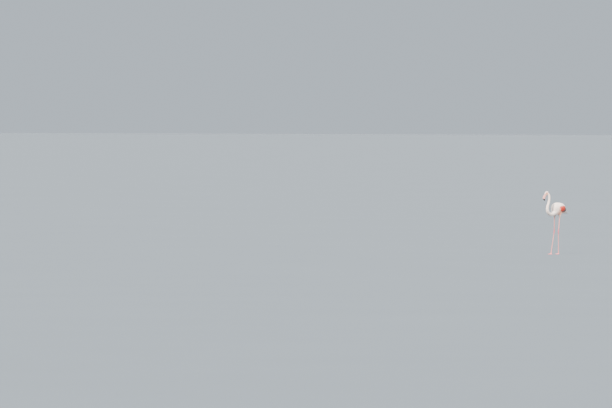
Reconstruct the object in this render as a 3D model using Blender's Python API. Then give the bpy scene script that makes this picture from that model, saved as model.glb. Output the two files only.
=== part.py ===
"""Greater flamingo, adult, standing mid-step with the neck in a low S: the CAD solids.

Frame: metres, +Z up, the bird faces -Y and its left side is +X. The soles lie on z = 0 and the
origin is on the floor under the body. The solids follow the outline of the plumage.
"""
import math

import bmesh
import bpy
import numpy as np
from mathutils import Matrix

# ---------------------------------------------------------------- sizes, metres and degrees
GAP = 0.0003            # clearance between neighbouring solids
CUT = 0.00035           # how much a cutter is grown beyond the solid it makes room for
PLACE = (0.00818, 0.01219, 0.0)   # moves the finished bird so that its box is centred on the origin

# Trunk, stations along the body: y, top z, bottom z, half width
TRUNK = (
    (-0.140, 0.742, 0.700, 0.012),
    (-0.128, 0.780, 0.662, 0.035),
    (-0.105, 0.812, 0.646, 0.052),
    (-0.070, 0.837, 0.642, 0.069),
    (-0.030, 0.847, 0.653, 0.083),
    (0.020, 0.849, 0.668, 0.091),
    (0.075, 0.843, 0.673, 0.090),
    (0.130, 0.826, 0.671, 0.081),
    (0.180, 0.801, 0.674, 0.067),
    (0.225, 0.772, 0.677, 0.051),
    (0.262, 0.747, 0.676, 0.038),
    (0.300, 0.728, 0.680, 0.031),
    (0.350, 0.712, 0.684, 0.024),
)
TRUNK_END = 0.240       # the solid trunk stops here, the wings follow its line on to their tips
TRUNK_POWER = 2.25      # roundness of the sections, 2 is an ellipse
TRUNK_WAIST = 0.52      # height of the widest level, as a share of the section
TRUNK_SIDES = 28
TRUNK_RINGS = 20

# Folded wing, stations: y, upper edge and lower edge as angles from the back's ridge
WING = (
    (-0.062, 72.0, 92.0),
    (-0.040, 50.0, 108.0),
    (0.000, 34.0, 116.0),
    (0.070, 24.0, 121.0),
    (0.140, 22.0, 119.0),
    (0.205, 26.0, 112.0),
    (0.265, 36.0, 104.0),
    (0.310, 50.0, 99.0),
    (0.344, 66.0, 92.0),
)
WING_PROUD = 0.0085     # how far the wing stands off the trunk's surface at its middle
WING_SUNK = 0.0065      # how far it is let into the trunk
WING_EDGE = 0.0014      # the same at its edges
WING_RINGS = 19
WING_ARC = 9

# Tail fan, stations: y, middle z, half width, half thickness. Its root takes the trunk's section
TAIL = (
    (0.240, 0.7020, 0.036, 0.0220),
    (0.268, 0.6940, 0.037, 0.0150),
    (0.296, 0.6850, 0.039, 0.0085),
    (0.324, 0.6760, 0.040, 0.0042),
    (0.347, 0.6685, 0.034, 0.0018),
)
TAIL_BLEND = 0.050      # length over which the section turns from the trunk's into the fan's

# Neck centre line from the breast to the nape: x, y, z, radius
NECK = (
    (0.000, -0.058, 0.712, 0.0480),
    (0.000, -0.118, 0.684, 0.0410),
    (-0.002, -0.180, 0.6620, 0.0325),
    (-0.005, -0.248, 0.6590, 0.0285),
    (-0.009, -0.308, 0.6800, 0.0268),
    (-0.012, -0.342, 0.7240, 0.0255),
    (-0.014, -0.344, 0.7700, 0.0240),
    (-0.015, -0.320, 0.8160, 0.0222),
    (-0.015, -0.290, 0.8600, 0.0205),
    (-0.014, -0.273, 0.9070, 0.0190),
    (-0.014, -0.271, 0.9500, 0.0180),
    (-0.020, -0.275, 0.9820, 0.0172),
    (-0.036, -0.283, 1.0040, 0.0162),
)
NECK_CUTS = (0.0, 2.5, 5.0, 7.4, 9.6, 12.0)   # where the lengths part, in NECK rows
NECK_NAMES = ("neck_base", "neck_lower", "neck_middle", "neck_upper", "neck_top")
NECK_SIDES = 16
NECK_FLAT = 0.94        # the neck is a little narrower than deep

# Head: its own frame has its origin in the middle of the cranium
HEAD_AT = (-0.0566, -0.2929, 1.004)
HEAD_TURN = 65.0        # turned to the bird's right from straight ahead
HEAD_PITCH = 60.0       # below the level
HEAD_SIDES = 20
# stations along the head: forward, middle height, half height, half width
HEAD = (
    (-0.0395, -0.0030, 0.0060, 0.0050),
    (-0.0360, -0.0020, 0.0130, 0.0110),
    (-0.0290, -0.0010, 0.0205, 0.0170),
    (-0.0180, 0.0002, 0.0262, 0.0212),
    (-0.0050, 0.0010, 0.0286, 0.0226),
    (0.0070, 0.0016, 0.0276, 0.0215),
    (0.0180, 0.0020, 0.0238, 0.0186),
    (0.0285, 0.0022, 0.0196, 0.0158),
)
EYE_RADIUS = 0.0062
EYE_AT = (0.0085, 0.0065, 0.0158)      # forward, up, out

# Bill stations: culmen forward and up, keel forward and up, half width, share above the gape
BILL = (
    (0.0288, 0.0212, 0.0288, -0.0165, 0.0148, 0.40),
    (0.0450, 0.0218, 0.0460, -0.0172, 0.0144, 0.37),
    (0.0610, 0.0222, 0.0605, -0.0170, 0.0140, 0.33),
    (0.0760, 0.0212, 0.0718, -0.0172, 0.0139, 0.31),
    (0.0900, 0.0165, 0.0812, -0.0200, 0.0139, 0.31),
    (0.1020, 0.0080, 0.0885, -0.0245, 0.0132, 0.33),
    (0.1105, -0.0030, 0.0950, -0.0295, 0.0118, 0.37),
    (0.1160, -0.0150, 0.1020, -0.0345, 0.0098, 0.42),
    (0.1190, -0.0270, 0.1092, -0.0388, 0.0072, 0.48),
    (0.1200, -0.0380, 0.1168, -0.0418, 0.0038, 0.54),
)
BILL_RINGS = 14
BILL_ARC = 9

# Legs, one row a side: hip, ankle and foot points, then the way the foot points
LEGS = {
    "left": ((0.046, 0.004), (0.034, -0.018, 0.372), (0.0095, 0.039), -4.0),
    "right": ((-0.048, 0.006), (-0.050, -0.002, 0.372), (-0.082, -0.0515), 6.0),
}
THIGH_TOP = 0.694
THIGH_END = 0.606       # where the feathering stops on the leg
# thigh stations: share of the way down, radius across, radius along the body
THIGH = (
    (0.00, 0.0250, 0.0400),
    (0.25, 0.0275, 0.0400),
    (0.50, 0.0225, 0.0305),
    (0.75, 0.0152, 0.0190),
    (1.00, 0.0098, 0.0108),
)
SHANK_RADIUS = 0.0066
ANKLE_RADIUS = 0.0104
ANKLE_LENGTH = 0.040
TARSUS_RADIUS = 0.0058
FOOT_HEIGHT = 0.030     # where the tarsus meets the foot
LEG_SIDES = 12
LEG_NARROW = 0.88       # legs are narrower across than along

# Toes: name, angle from straight ahead (outwards is plus), length, radius at the root
TOES = (
    ("inner", -32.0, 0.066, 0.0060),
    ("middle", -2.0, 0.084, 0.0064),
    ("outer", 30.0, 0.074, 0.0060),
    ("hind", 172.0, 0.021, 0.0042),
)
TOE_SIDES = 8
TOE_TIP = 0.0031        # radius at the end of a toe
CLAW_LENGTH = 0.0075
CLAW_RADIUS = 0.0027
WEB_TOP = 0.0022        # thickness of the web over the sole
WEB_REACH = 0.86        # share of a toe's length that the web follows
WEB_HOLLOW = 0.70       # how far out the web's edge is between the toes

# ---------------------------------------------------------------- base colours, sRGB
PLUMAGE = (0.93, 0.85, 0.80)
BLUSH = (0.93, 0.76, 0.70)
CORAL = (0.85, 0.36, 0.24)
LEG_PINK = (0.85, 0.46, 0.47)
JOINT_PINK = (0.86, 0.35, 0.38)
BILL_PINK = (0.90, 0.66, 0.64)
BILL_KEEL = (0.88, 0.62, 0.61)
EYE_YELLOW = (0.86, 0.78, 0.45)
CLAW_HORN = (0.20, 0.13, 0.12)


# ---------------------------------------------------------------- helpers
def along(rows, t):
    """The table's values at t rows from its first, on a smooth curve through every row."""
    rows = np.asarray(rows, float)
    i = min(max(int(math.floor(t)), 0), len(rows) - 2)
    f = t - i
    before = rows[i - 1] if i > 0 else 2 * rows[0] - rows[1]
    after = rows[i + 2] if i + 2 < len(rows) else 2 * rows[-1] - rows[-2]
    here, there = rows[i], rows[i + 1]
    return 0.5 * (
        2 * here
        + (there - before) * f
        + (2 * before - 5 * here + 4 * there - after) * f * f
        + (3 * here - before - 3 * there + after) * f ** 3
    )


def row_at(rows, first):
    """How many rows along the table the curve's first column reaches this value."""
    low, high = 0.0, len(rows) - 1.0
    for _ in range(40):
        middle = 0.5 * (low + high)
        if along(rows, middle)[0] < first:
            low = middle
        else:
            high = middle
    return 0.5 * (low + high)


def material(name, colour, roughness):
    made = bpy.data.materials.new(name)
    made.use_nodes = True
    linear = [c / 12.92 if c <= 0.04045 else ((c + 0.055) / 1.055) ** 2.4 for c in colour]
    shader = made.node_tree.nodes["Principled BSDF"]
    shader.inputs["Base Color"].default_value = (*linear, 1.0)
    shader.inputs["Roughness"].default_value = roughness
    return made


def keep(name, bm, colour, roughness=0.6):
    """Turns a bmesh into a named object with its own material, faces outward."""
    bmesh.ops.recalc_face_normals(bm, faces=bm.faces)
    mesh = bpy.data.meshes.new(name)
    bm.to_mesh(mesh)
    bm.free()
    made = bpy.data.objects.new(name, mesh)
    bpy.context.scene.collection.objects.link(made)
    mesh.materials.append(material(name + "_material", colour, roughness))
    return made


def helper(made):
    """Marks an object as a cutter or a guide."""
    made.hide_render = True
    made.display_type = "WIRE"
    return made


def grown(made):
    """A cutter: the same solid with every face moved outward by CUT."""
    bm = bmesh.new()
    bm.from_mesh(made.data)
    bm.normal_update()
    moves = [v.normal * CUT * min(v.calc_shell_factor(), 3.0) for v in bm.verts]
    for v, move in zip(bm.verts, moves):
        v.co += move
    return keep(made.name + "_room", bm, PLUMAGE)


def combine(target, other, operation):
    modifier = target.modifiers.new(operation.lower() + "_" + other.name, "BOOLEAN")
    modifier.operation = operation
    modifier.solver = "EXACT"
    modifier.use_self = operation == "UNION"
    modifier.object = helper(other)


def loft(name, rings, colour, roughness=0.6):
    """A closed body through rings of equal count, each end closed on its own middle."""
    bm = bmesh.new()
    loops = [[bm.verts.new(p) for p in ring] for ring in rings]
    for one, two in zip(loops, loops[1:]):
        for i in range(len(one)):
            j = (i + 1) % len(one)
            bm.faces.new((one[i], one[j], two[j]))
            bm.faces.new((one[i], two[j], two[i]))
    for ring, loop in ((rings[0], loops[0]), (rings[-1], loops[-1])):
        middle = bm.verts.new(np.mean(ring, axis=0))
        for i in range(len(loop)):
            bm.faces.new((loop[i], loop[(i + 1) % len(loop)], middle))
    return keep(name, bm, colour, roughness)


def ellipse(centre, across, up, sides):
    """A ring of points round a centre, from two half-axis vectors."""
    turns = [2 * math.pi * i / sides for i in range(sides)]
    return [centre + math.cos(a) * across + math.sin(a) * up for a in turns]


def unit(v):
    return np.asarray(v, float) / np.linalg.norm(v)


def power(value, exponent):
    return math.copysign(abs(value) ** exponent, value)


# ---------------------------------------------------------------- trunk and wings
def trunk_point(y, degrees, proud=0.0):
    """A point of the trunk's surface: degrees from the ridge of the back towards +X."""
    _, top, bottom, half = along(TRUNK, row_at(TRUNK, y))
    waist = bottom + TRUNK_WAIST * (top - bottom)
    a = math.radians(degrees)
    height = top - waist if math.cos(a) >= 0 else waist - bottom
    x = half * power(math.sin(a), 2 / TRUNK_POWER)
    z = height * power(math.cos(a), 2 / TRUNK_POWER)
    out = unit((x / half ** 2, z / height ** 2))
    return np.array((x + proud * out[0], y, waist + z + proud * out[1]))


def build_trunk():
    front, back = TRUNK[0][0], TRUNK_END
    rings = []
    for i in range(TRUNK_RINGS):
        share = i / (TRUNK_RINGS - 1)
        y = front + (back - front) * (share - 0.16 * math.sin(2 * math.pi * share) / math.pi)
        rings.append([trunk_point(y, 360 * k / TRUNK_SIDES) for k in range(TRUNK_SIDES)])
    return loft("trunk", rings, PLUMAGE, 0.8)


def build_wing(name, side):
    """The folded wing as a thin curved lens on the flank."""
    first, last = WING[0][0], WING[-1][0]
    rings = []
    for i in range(WING_RINGS):
        share = i / (WING_RINGS - 1)
        y = first + (last - first) * (1 - math.cos(math.pi * share)) / 2
        _, upper, lower = along(WING, row_at(WING, y))
        full = min(1.0, 4.0 * min(share, 1 - share) + 0.12)
        thin = 1.0 if share < 0.6 else 1.0 - 0.75 * (share - 0.6) / 0.4
        outer, inner = [], []
        for k in range(WING_ARC):
            v = k / (WING_ARC - 1)
            bulge = math.sqrt(math.sin(math.pi * v)) if 0 < v < 1 else 0.0
            angle = upper + (lower - upper) * v
            proud = WING_EDGE + (WING_PROUD - WING_EDGE) * bulge * full * thin
            sunk = WING_EDGE + (WING_SUNK - WING_EDGE) * bulge * full * thin
            outer.append(trunk_point(y, angle, proud) * (side, 1, 1))
            inner.append(trunk_point(y, angle, -sunk) * (side, 1, 1))
        rings.append(outer + inner[::-1])
    return loft(name, rings, CORAL, 0.8)


def build_tail(name):
    """From the trunk's last section to the flat fan of the tail."""
    rings = []
    sides, steps = 20, 8
    for i in range(steps + 1):
        y, z, half, thick = along(TAIL, i * (len(TAIL) - 1) / steps)
        y += GAP if i == 0 else 0.0
        share = min((y - TRUNK_END) / TAIL_BLEND, 1.0)
        share = share * share * (3 - 2 * share)
        ring = []
        for k in range(sides):
            a = 2 * math.pi * k / sides
            x = half * power(math.sin(a), 0.8)
            droop = -0.10 * half * math.sin(a) ** 2
            fan = np.array((x, y, z + thick * power(math.cos(a), 0.8) + droop))
            ring.append((1 - share) * trunk_point(y, math.degrees(a)) + share * fan)
        rings.append(ring)
    return loft(name, rings, PLUMAGE, 0.8)


# ---------------------------------------------------------------- neck
def neck_frame(t):
    """Centre, direction, across and up half-axes of the neck at t rows."""
    centre = along(NECK, t)
    step = unit((along(NECK, min(t + 0.05, len(NECK) - 1)) - along(NECK, max(t - 0.05, 0)))[:3])
    blend = min(max((t - 9.0) / 3.0, 0.0), 1.0)
    turn = math.radians(HEAD_TURN) * blend
    side = np.array((math.cos(turn), -math.sin(turn), 0.0))
    up = unit(np.cross(side, step))
    across = unit(np.cross(step, up))
    return centre[:3], step, across * centre[3] * NECK_FLAT, up * centre[3]


def build_neck(name, start, end):
    rings = []
    steps = max(4, round((end - start) * 2.2))
    for i in range(steps + 1):
        t = start + (end - start) * i / steps
        centre, step, across, up = neck_frame(t)
        if i in (0, steps):
            inward = 1 if i == 0 else -1
            centre = centre + step * inward * GAP / 2
        rings.append(ellipse(centre, across, up, NECK_SIDES))
    return loft(name, rings, PLUMAGE, 0.8)


# ---------------------------------------------------------------- head, eyes and bill
def head_axes():
    turn, pitch = math.radians(HEAD_TURN), math.radians(HEAD_PITCH)
    level = np.array((-math.sin(turn), -math.cos(turn), 0.0))
    up = np.array((0.0, 0.0, 1.0))
    forward = level * math.cos(pitch) - up * math.sin(pitch)
    crown = level * math.sin(pitch) + up * math.cos(pitch)
    return forward, crown, np.cross(crown, forward)


def head_point(forward, crown, out=0.0):
    axes = head_axes()
    return np.array(HEAD_AT) + forward * axes[0] + crown * axes[1] + out * axes[2]


def build_head(name):
    _, crown, out = head_axes()
    rings = []
    for i in range(13):
        forward, middle, half_up, half_out = along(HEAD, i * (len(HEAD) - 1) / 12)
        rings.append(ellipse(head_point(forward - (GAP if i == 12 else 0), middle),
                             out * half_out, crown * half_up, HEAD_SIDES))
    return loft(name, rings, PLUMAGE, 0.8)


def build_eye(name, side):
    bm = bmesh.new()
    bmesh.ops.create_uvsphere(bm, u_segments=12, v_segments=7, radius=EYE_RADIUS)
    bmesh.ops.translate(bm, vec=head_point(EYE_AT[0], EYE_AT[1], side * EYE_AT[2]), verts=bm.verts)
    return keep(name, bm, EYE_YELLOW, 0.15)


def build_bill(name, upper):
    """Half of the bill: the upper lid or the deep lower trough, parted along the gape."""
    _, _, out = head_axes()
    rings = []
    for i in range(BILL_RINGS):
        values = along(BILL, i * (len(BILL) - 1) / (BILL_RINGS - 1))
        culmen, keel = head_point(*values[0:2]), head_point(*values[2:4])
        half, share = values[4], values[5]
        down = unit(keel - culmen)
        depth = np.linalg.norm(keel - culmen)
        gape = culmen + down * (share * depth + (-GAP / 2 if upper else GAP / 2))
        reach = -down * (share * depth - GAP / 2) if upper else down * ((1 - share) * depth - GAP / 2)
        roundness = 0.80 if upper else 0.92
        ring = []
        for k in range(BILL_ARC):
            a = math.pi * k / (BILL_ARC - 1)
            swell = 1.0 if upper else 1.0 + 0.10 * math.sin(2 * a) ** 2
            ring.append(gape + out * half * swell * power(math.cos(a), roundness)
                        + reach * power(math.sin(a), roundness))
        ring.append(gape - out * half * 0.5)
        ring.append(gape + out * half * 0.5)
        rings.append(ring)
    return loft(name, rings, BILL_PINK if upper else BILL_KEEL, 0.35)


# ---------------------------------------------------------------- legs
def build_limb(name, stations, colour, roughness=0.5, tilt=None):
    """A tapering limb from (centre, radius across, radius along) stations."""
    centres = [np.asarray(s[0], float) for s in stations]
    rings = []
    for i, (_, wide, deep) in enumerate(stations):
        step = unit(centres[min(i + 1, len(centres) - 1)] - centres[max(i - 1, 0)])
        if tilt is not None:
            step = unit(tilt[i])
        across = unit(np.cross(step, (0.0, 1.0, 0.0)))
        front = np.cross(across, step)
        rings.append(ellipse(centres[i], across * wide, front * deep, LEG_SIDES))
    return loft(name, rings, colour, roughness)


def leg_points(side):
    hip, ankle, foot, _ = LEGS[side]
    knee = np.array((hip[0], hip[1], THIGH_END))
    return knee, np.array(ankle), np.array((foot[0], foot[1], FOOT_HEIGHT))


def build_thigh(name, side):
    (x, y), _, _, _ = LEGS[side]
    rings = []
    for i in range(9):
        share, wide, deep = along(THIGH, i / 2)
        z = THIGH_TOP + (THIGH_END + GAP / 2 - THIGH_TOP) * share
        back = 0.016 * (1 - share) ** 2
        rings.append(ellipse(np.array((x, y + back, z)), np.array((wide, 0, 0)),
                             np.array((0, deep, 0)), 14))
    return loft(name, rings, BLUSH, 0.8)


def build_leg(side):
    knee, ankle, foot = leg_points(side)
    down, on = unit(ankle - knee), unit(foot - ankle)
    bend = unit(down + on)
    vertical = np.array((0.0, 0.0, -1.0))
    half = ANKLE_LENGTH / 2
    thick = SHANK_RADIUS
    top, low = ankle - down * half, ankle + on * half
    build_limb("shank_" + side, [
        (knee - (0, 0, GAP / 2), thick * 1.16 * LEG_NARROW, thick * 1.16),
        (knee + (top - knee) * 0.25, thick * LEG_NARROW, thick),
        (knee + (top - knee) * 0.75, thick * LEG_NARROW, thick),
        (top - down * GAP / 2, thick * 1.12 * LEG_NARROW, thick * 1.12),
    ], LEG_PINK, tilt=(vertical, down, down, down))
    build_limb("ankle_" + side, [
        (top + down * GAP / 2, thick * 1.12 * LEG_NARROW, thick * 1.12),
        (ankle - down * half * 0.5, ANKLE_RADIUS * 0.88, ANKLE_RADIUS * 0.93),
        (ankle, ANKLE_RADIUS * LEG_NARROW, ANKLE_RADIUS),
        (ankle + on * half * 0.5, ANKLE_RADIUS * 0.80, ANKLE_RADIUS * 0.85),
        (low - on * GAP / 2, TARSUS_RADIUS * 1.08 * LEG_NARROW, TARSUS_RADIUS * 1.12),
    ], JOINT_PINK, tilt=(down, down, bend, on, on))
    build_limb("tarsus_" + side, [
        (low + on * GAP / 2, TARSUS_RADIUS * 1.08 * LEG_NARROW, TARSUS_RADIUS * 1.12),
        (low + (foot - low) * 0.12, TARSUS_RADIUS * LEG_NARROW, TARSUS_RADIUS),
        (low + (foot - low) * 0.50, TARSUS_RADIUS * 0.94 * LEG_NARROW, TARSUS_RADIUS * 0.94),
        (low + (foot - low) * 0.90, TARSUS_RADIUS * LEG_NARROW, TARSUS_RADIUS),
        (foot - on * GAP / 2, TARSUS_RADIUS * 1.15 * LEG_NARROW, TARSUS_RADIUS * 1.18),
    ], LEG_PINK, tilt=(on,) * 5)


def foot_axes(side):
    _, _, (x, y), turn = LEGS[side]
    outward = 1 if side == "left" else -1
    return np.array((x, y, 0.0)), math.radians(turn), outward


def toe_direction(side, degrees):
    _, turn, outward = foot_axes(side)
    a = math.radians(degrees) * outward + turn
    return np.array((math.sin(a), -math.cos(a), 0.0))


def toe_line(side, degrees, length, root, share):
    """Centre and radius of a toe at a share of its length."""
    at, _, _ = foot_axes(side)
    radius = root + (TOE_TIP - root) * share + 0.0006 * math.sin(3 * math.pi * share) ** 2
    height = 0.010 * (1 - share) ** 3 + radius * 0.78
    return at + toe_direction(side, degrees) * length * share + (0, 0, height), radius


def build_toe(side, name, degrees, length, root):
    rings = []
    across = np.cross(toe_direction(side, degrees), (0.0, 0.0, 1.0))
    for i in range(7):
        centre, radius = toe_line(side, degrees, length, root, i / 6)
        rings.append(ellipse(centre, across * radius, np.array((0, 0, radius * 0.86)), TOE_SIDES))
    return loft("toe_" + name + "_" + side, rings, LEG_PINK)


def build_claw(side, name, degrees, length, root):
    ahead = toe_direction(side, degrees)
    tip, _ = toe_line(side, degrees, length, root, 1.0)
    across = np.cross(ahead, (0.0, 0.0, 1.0))
    rings = []
    for share, size in ((0.0, 1.0), (0.35, 0.95), (0.7, 0.68), (1.0, 0.28)):
        radius = CLAW_RADIUS * size * (0.8 if name == "hind" else 1.0)
        low = radius * 0.80 + 0.0002
        high = tip[2] * (1 - share ** 1.5) + low * share ** 1.5
        centre = tip + ahead * (GAP + CLAW_LENGTH * share)
        rings.append(ellipse(np.array((centre[0], centre[1], max(high, low))),
                             across * radius * 0.82, np.array((0, 0, radius * 0.78)), 8))
    return loft("claw_" + name + "_" + side, rings, CLAW_HORN, 0.4)


def build_web(side):
    """The web between the three front toes, a thin plate with a hollow front edge."""
    at, _, _ = foot_axes(side)
    outline = [at - toe_direction(side, TOES[1][1]) * 0.004]
    for k, (_, degrees, length, _) in enumerate(TOES[:3]):
        outline.append(at + toe_direction(side, degrees) * length * WEB_REACH)
        if k == 2:
            break
        _, after, further, _ = TOES[k + 1]
        for share in (0.2, 0.4, 0.6, 0.8):
            angle = degrees + (after - degrees) * share
            reach = (length + (further - length) * share) * WEB_REACH
            dip = 1 - (1 - WEB_HOLLOW / WEB_REACH) * math.sin(math.pi * share)
            outline.append(at + toe_direction(side, angle) * reach * dip)
    bm = bmesh.new()
    face = bm.faces.new([bm.verts.new(p + (0, 0, -0.001)) for p in outline])
    raised = bmesh.ops.extrude_face_region(bm, geom=[face])["geom"]
    moved = [v for v in raised if isinstance(v, bmesh.types.BMVert)]
    bmesh.ops.translate(bm, vec=(0, 0, 0.001 + WEB_TOP), verts=moved)
    bmesh.ops.triangulate(bm, faces=[f for f in bm.faces if len(f.verts) > 4])
    return keep("web_" + side, bm, LEG_PINK)


def build_foot(side):
    """Toes, web and the root of the tarsus joined into one body, flat where it stands."""
    _, ankle, foot = leg_points(side)
    at, _, _ = foot_axes(side)
    on = unit(foot - ankle)
    low = foot + on * (FOOT_HEIGHT - 0.008) / -on[2]
    stem = build_limb("foot_" + side, [
        (foot + on * GAP / 2, TARSUS_RADIUS * 1.15 * LEG_NARROW, TARSUS_RADIUS * 1.18),
        ((foot + low) / 2, TARSUS_RADIUS * 1.15, TARSUS_RADIUS * 1.25),
        (low, TARSUS_RADIUS * 1.30, TARSUS_RADIUS * 1.45),
        (at + (0, 0, 0.002), TARSUS_RADIUS * 1.10, TARSUS_RADIUS * 1.25),
    ], LEG_PINK, tilt=(on, on, (0, 0, -1), (0, 0, -1)))
    for toe in TOES:
        combine(stem, build_toe(side, *toe), "UNION")
    combine(stem, build_web(side), "UNION")
    bm = bmesh.new()
    bmesh.ops.create_cube(bm, size=0.4)
    bmesh.ops.translate(bm, vec=at - (0, 0, 0.2), verts=bm.verts)
    combine(stem, keep("floor_cut_" + side, bm, LEG_PINK), "DIFFERENCE")
    for toe in TOES:
        build_claw(side, *toe)
    return stem


# ---------------------------------------------------------------- the bird
def build():
    for old in list(bpy.data.objects):
        bpy.data.objects.remove(old, do_unlink=True)

    trunk = build_trunk()
    tail = build_tail("tail")
    for side, sign in (("left", 1), ("right", -1)):
        wing_room = grown(build_wing("wing_" + side, sign))
        combine(trunk, wing_room, "DIFFERENCE")
        combine(tail, wing_room, "DIFFERENCE")
        combine(trunk, grown(build_thigh("thigh_" + side, side)), "DIFFERENCE")
        build_leg(side)
        build_foot(side)

    necks = [build_neck(name, NECK_CUTS[i], NECK_CUTS[i + 1]) for i, name in enumerate(NECK_NAMES)]
    combine(trunk, grown(necks[0]), "DIFFERENCE")
    combine(trunk, grown(necks[1]), "DIFFERENCE")

    head = build_head("head")
    combine(necks[-1], grown(head), "DIFFERENCE")
    for side, sign in (("left", 1), ("right", -1)):
        combine(head, grown(build_eye("eye_" + side, sign)), "DIFFERENCE")
    build_bill("bill_upper", True)
    build_bill("bill_lower", False)

    for made in bpy.data.objects:
        made.data.transform(Matrix.Translation(PLACE))


build()
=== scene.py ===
"""Looks of a standing greater flamingo: one skin, feathers as thin solid vanes, horn bill, eyes and claws.

X is the bird's left, Y its tail, Z up, in metres. The lie of the coat and its markings are functions of
place, so skin and feathers share them.
"""

import math

import bmesh
import bpy
import numpy as np
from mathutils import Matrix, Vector
from mathutils.bvhtree import BVHTree


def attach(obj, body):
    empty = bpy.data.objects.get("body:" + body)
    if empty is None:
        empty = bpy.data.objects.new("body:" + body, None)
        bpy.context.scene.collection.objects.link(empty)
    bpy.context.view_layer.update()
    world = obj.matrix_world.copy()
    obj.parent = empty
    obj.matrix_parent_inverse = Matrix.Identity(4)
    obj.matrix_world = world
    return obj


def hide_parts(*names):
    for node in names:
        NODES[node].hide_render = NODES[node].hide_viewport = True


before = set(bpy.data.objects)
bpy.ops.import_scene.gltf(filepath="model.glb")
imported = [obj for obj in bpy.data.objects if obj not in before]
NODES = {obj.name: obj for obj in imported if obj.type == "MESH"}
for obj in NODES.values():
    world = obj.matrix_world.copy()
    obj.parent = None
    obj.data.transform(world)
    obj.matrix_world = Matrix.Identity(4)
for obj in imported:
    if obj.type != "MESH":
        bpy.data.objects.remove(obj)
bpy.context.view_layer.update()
rng = np.random.default_rng(11)

# ---------------------------------------------------------------- sizes, in metres, as in the solids
PLACE = np.array((0.00818, 0.01219, 0.0))
# trunk stations: y, top, bottom, half width
TRUNK = np.array((
    (-0.140, 0.742, 0.700, 0.012), (-0.128, 0.780, 0.662, 0.035), (-0.105, 0.812, 0.646, 0.052),
    (-0.070, 0.837, 0.642, 0.069), (-0.030, 0.847, 0.653, 0.083), (0.020, 0.849, 0.668, 0.091),
    (0.075, 0.843, 0.673, 0.090), (0.130, 0.826, 0.671, 0.081), (0.180, 0.801, 0.674, 0.067),
    (0.225, 0.772, 0.677, 0.051), (0.262, 0.747, 0.676, 0.038), (0.300, 0.728, 0.680, 0.031),
    (0.350, 0.712, 0.684, 0.024)))
# the widest place, as a share of the trunk's depth, and the fullness of its section
WAIST, FULLNESS = 0.52, 2.25
WING_PROUD, WINGS_CLOSE = 0.0085, 0.86
# tail fan stations: y, middle z, half width, half thickness
TAIL = np.array((
    (0.240, 0.7020, 0.036, 0.0220), (0.268, 0.6940, 0.037, 0.0150), (0.296, 0.6850, 0.039, 0.0085),
    (0.324, 0.6760, 0.040, 0.0042), (0.347, 0.6685, 0.034, 0.0018)))
# folded wing stations: y, upper and lower edge in degrees from the ridge of the back
WING = np.array((
    (-0.062, 72, 92), (-0.040, 50, 108), (0.0, 34, 116), (0.070, 24, 121), (0.140, 22, 119),
    (0.205, 26, 112), (0.265, 36, 104), (0.310, 50, 99), (0.344, 66, 92)))
# neck line from breast to nape: x, y, z, radius
NECK = np.array((
    (0.000, -0.058, 0.712, 0.0480), (0.000, -0.118, 0.684, 0.0410), (-0.002, -0.180, 0.662, 0.0325),
    (-0.005, -0.248, 0.659, 0.0285), (-0.009, -0.308, 0.680, 0.0268), (-0.012, -0.342, 0.724, 0.0255),
    (-0.014, -0.344, 0.770, 0.0240), (-0.015, -0.320, 0.816, 0.0222), (-0.015, -0.290, 0.860, 0.0205),
    (-0.014, -0.273, 0.907, 0.0190), (-0.014, -0.271, 0.950, 0.0180), (-0.020, -0.275, 0.982, 0.0172),
    (-0.036, -0.283, 1.004, 0.0162)))
HEAD_AT = np.array((-0.0566, -0.2929, 1.004)) + PLACE
HEAD_TURN, HEAD_PITCH = math.radians(65.0), math.radians(60.0)
EYE_AT, EYE_RADIUS = (0.0085, 0.0065, 0.0158), 0.0062
# bill stations: culmen forward and up, keel forward and up, half width, share above the gape
BILL = np.array((
    (0.0262, 0.0205, 0.0262, -0.0160, 0.0146, 0.41),
    (0.0450, 0.0218, 0.0460, -0.0172, 0.0144, 0.37), (0.0610, 0.0222, 0.0605, -0.0170, 0.0140, 0.33),
    (0.0760, 0.0212, 0.0718, -0.0172, 0.0139, 0.31), (0.0900, 0.0165, 0.0812, -0.0200, 0.0139, 0.31),
    (0.1020, 0.0080, 0.0885, -0.0245, 0.0132, 0.33), (0.1105, -0.0030, 0.0950, -0.0295, 0.0118, 0.37),
    (0.1160, -0.0150, 0.1020, -0.0345, 0.0098, 0.42), (0.1190, -0.0270, 0.1092, -0.0388, 0.0072, 0.48),
    (0.1200, -0.0380, 0.1168, -0.0418, 0.0038, 0.54)))
HIPS = {"left": np.array((0.046, 0.004)) + PLACE[:2], "right": np.array((-0.048, 0.006)) + PLACE[:2]}
ANKLES = np.array(((0.034, -0.018, 0.372), (-0.050, -0.002, 0.372))) + PLACE
# where the lower legs meet the feet: x, y of the pad over the toes' roots
FOOT_PADS = ((0.0095, 0.026), (-0.082, -0.0645))
THIGH_END = 0.606
# the CAD solids are grown this much before they are melted together
CAD_GROWN = 0.0005

BODY_NODES = ["trunk", "tail", "wing_left", "wing_right", "neck_base", "neck_lower", "neck_middle",
              "neck_upper", "neck_top", "head", "thigh_left", "thigh_right"]
HEAD_NODES = ["head", "neck_top", "eye_left", "eye_right"]
LEG_NODES = [part + side for part in ("shank_", "ankle_", "tarsus_", "foot_") for side in ("left", "right")]
SIDES = (("left", 1), ("right", -1))


# ---------------------------------------------------------------- small tools
def ease(values, low, high):
    """0 below low, 1 above high, smooth between."""
    t = np.clip((np.asarray(values, float) - low) / (high - low), 0, 1)
    return t * t * (3 - 2 * t)


def unit(v):
    v = np.asarray(v, float)
    return v / np.maximum(np.linalg.norm(v, axis=-1, keepdims=True), 1e-12)


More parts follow.
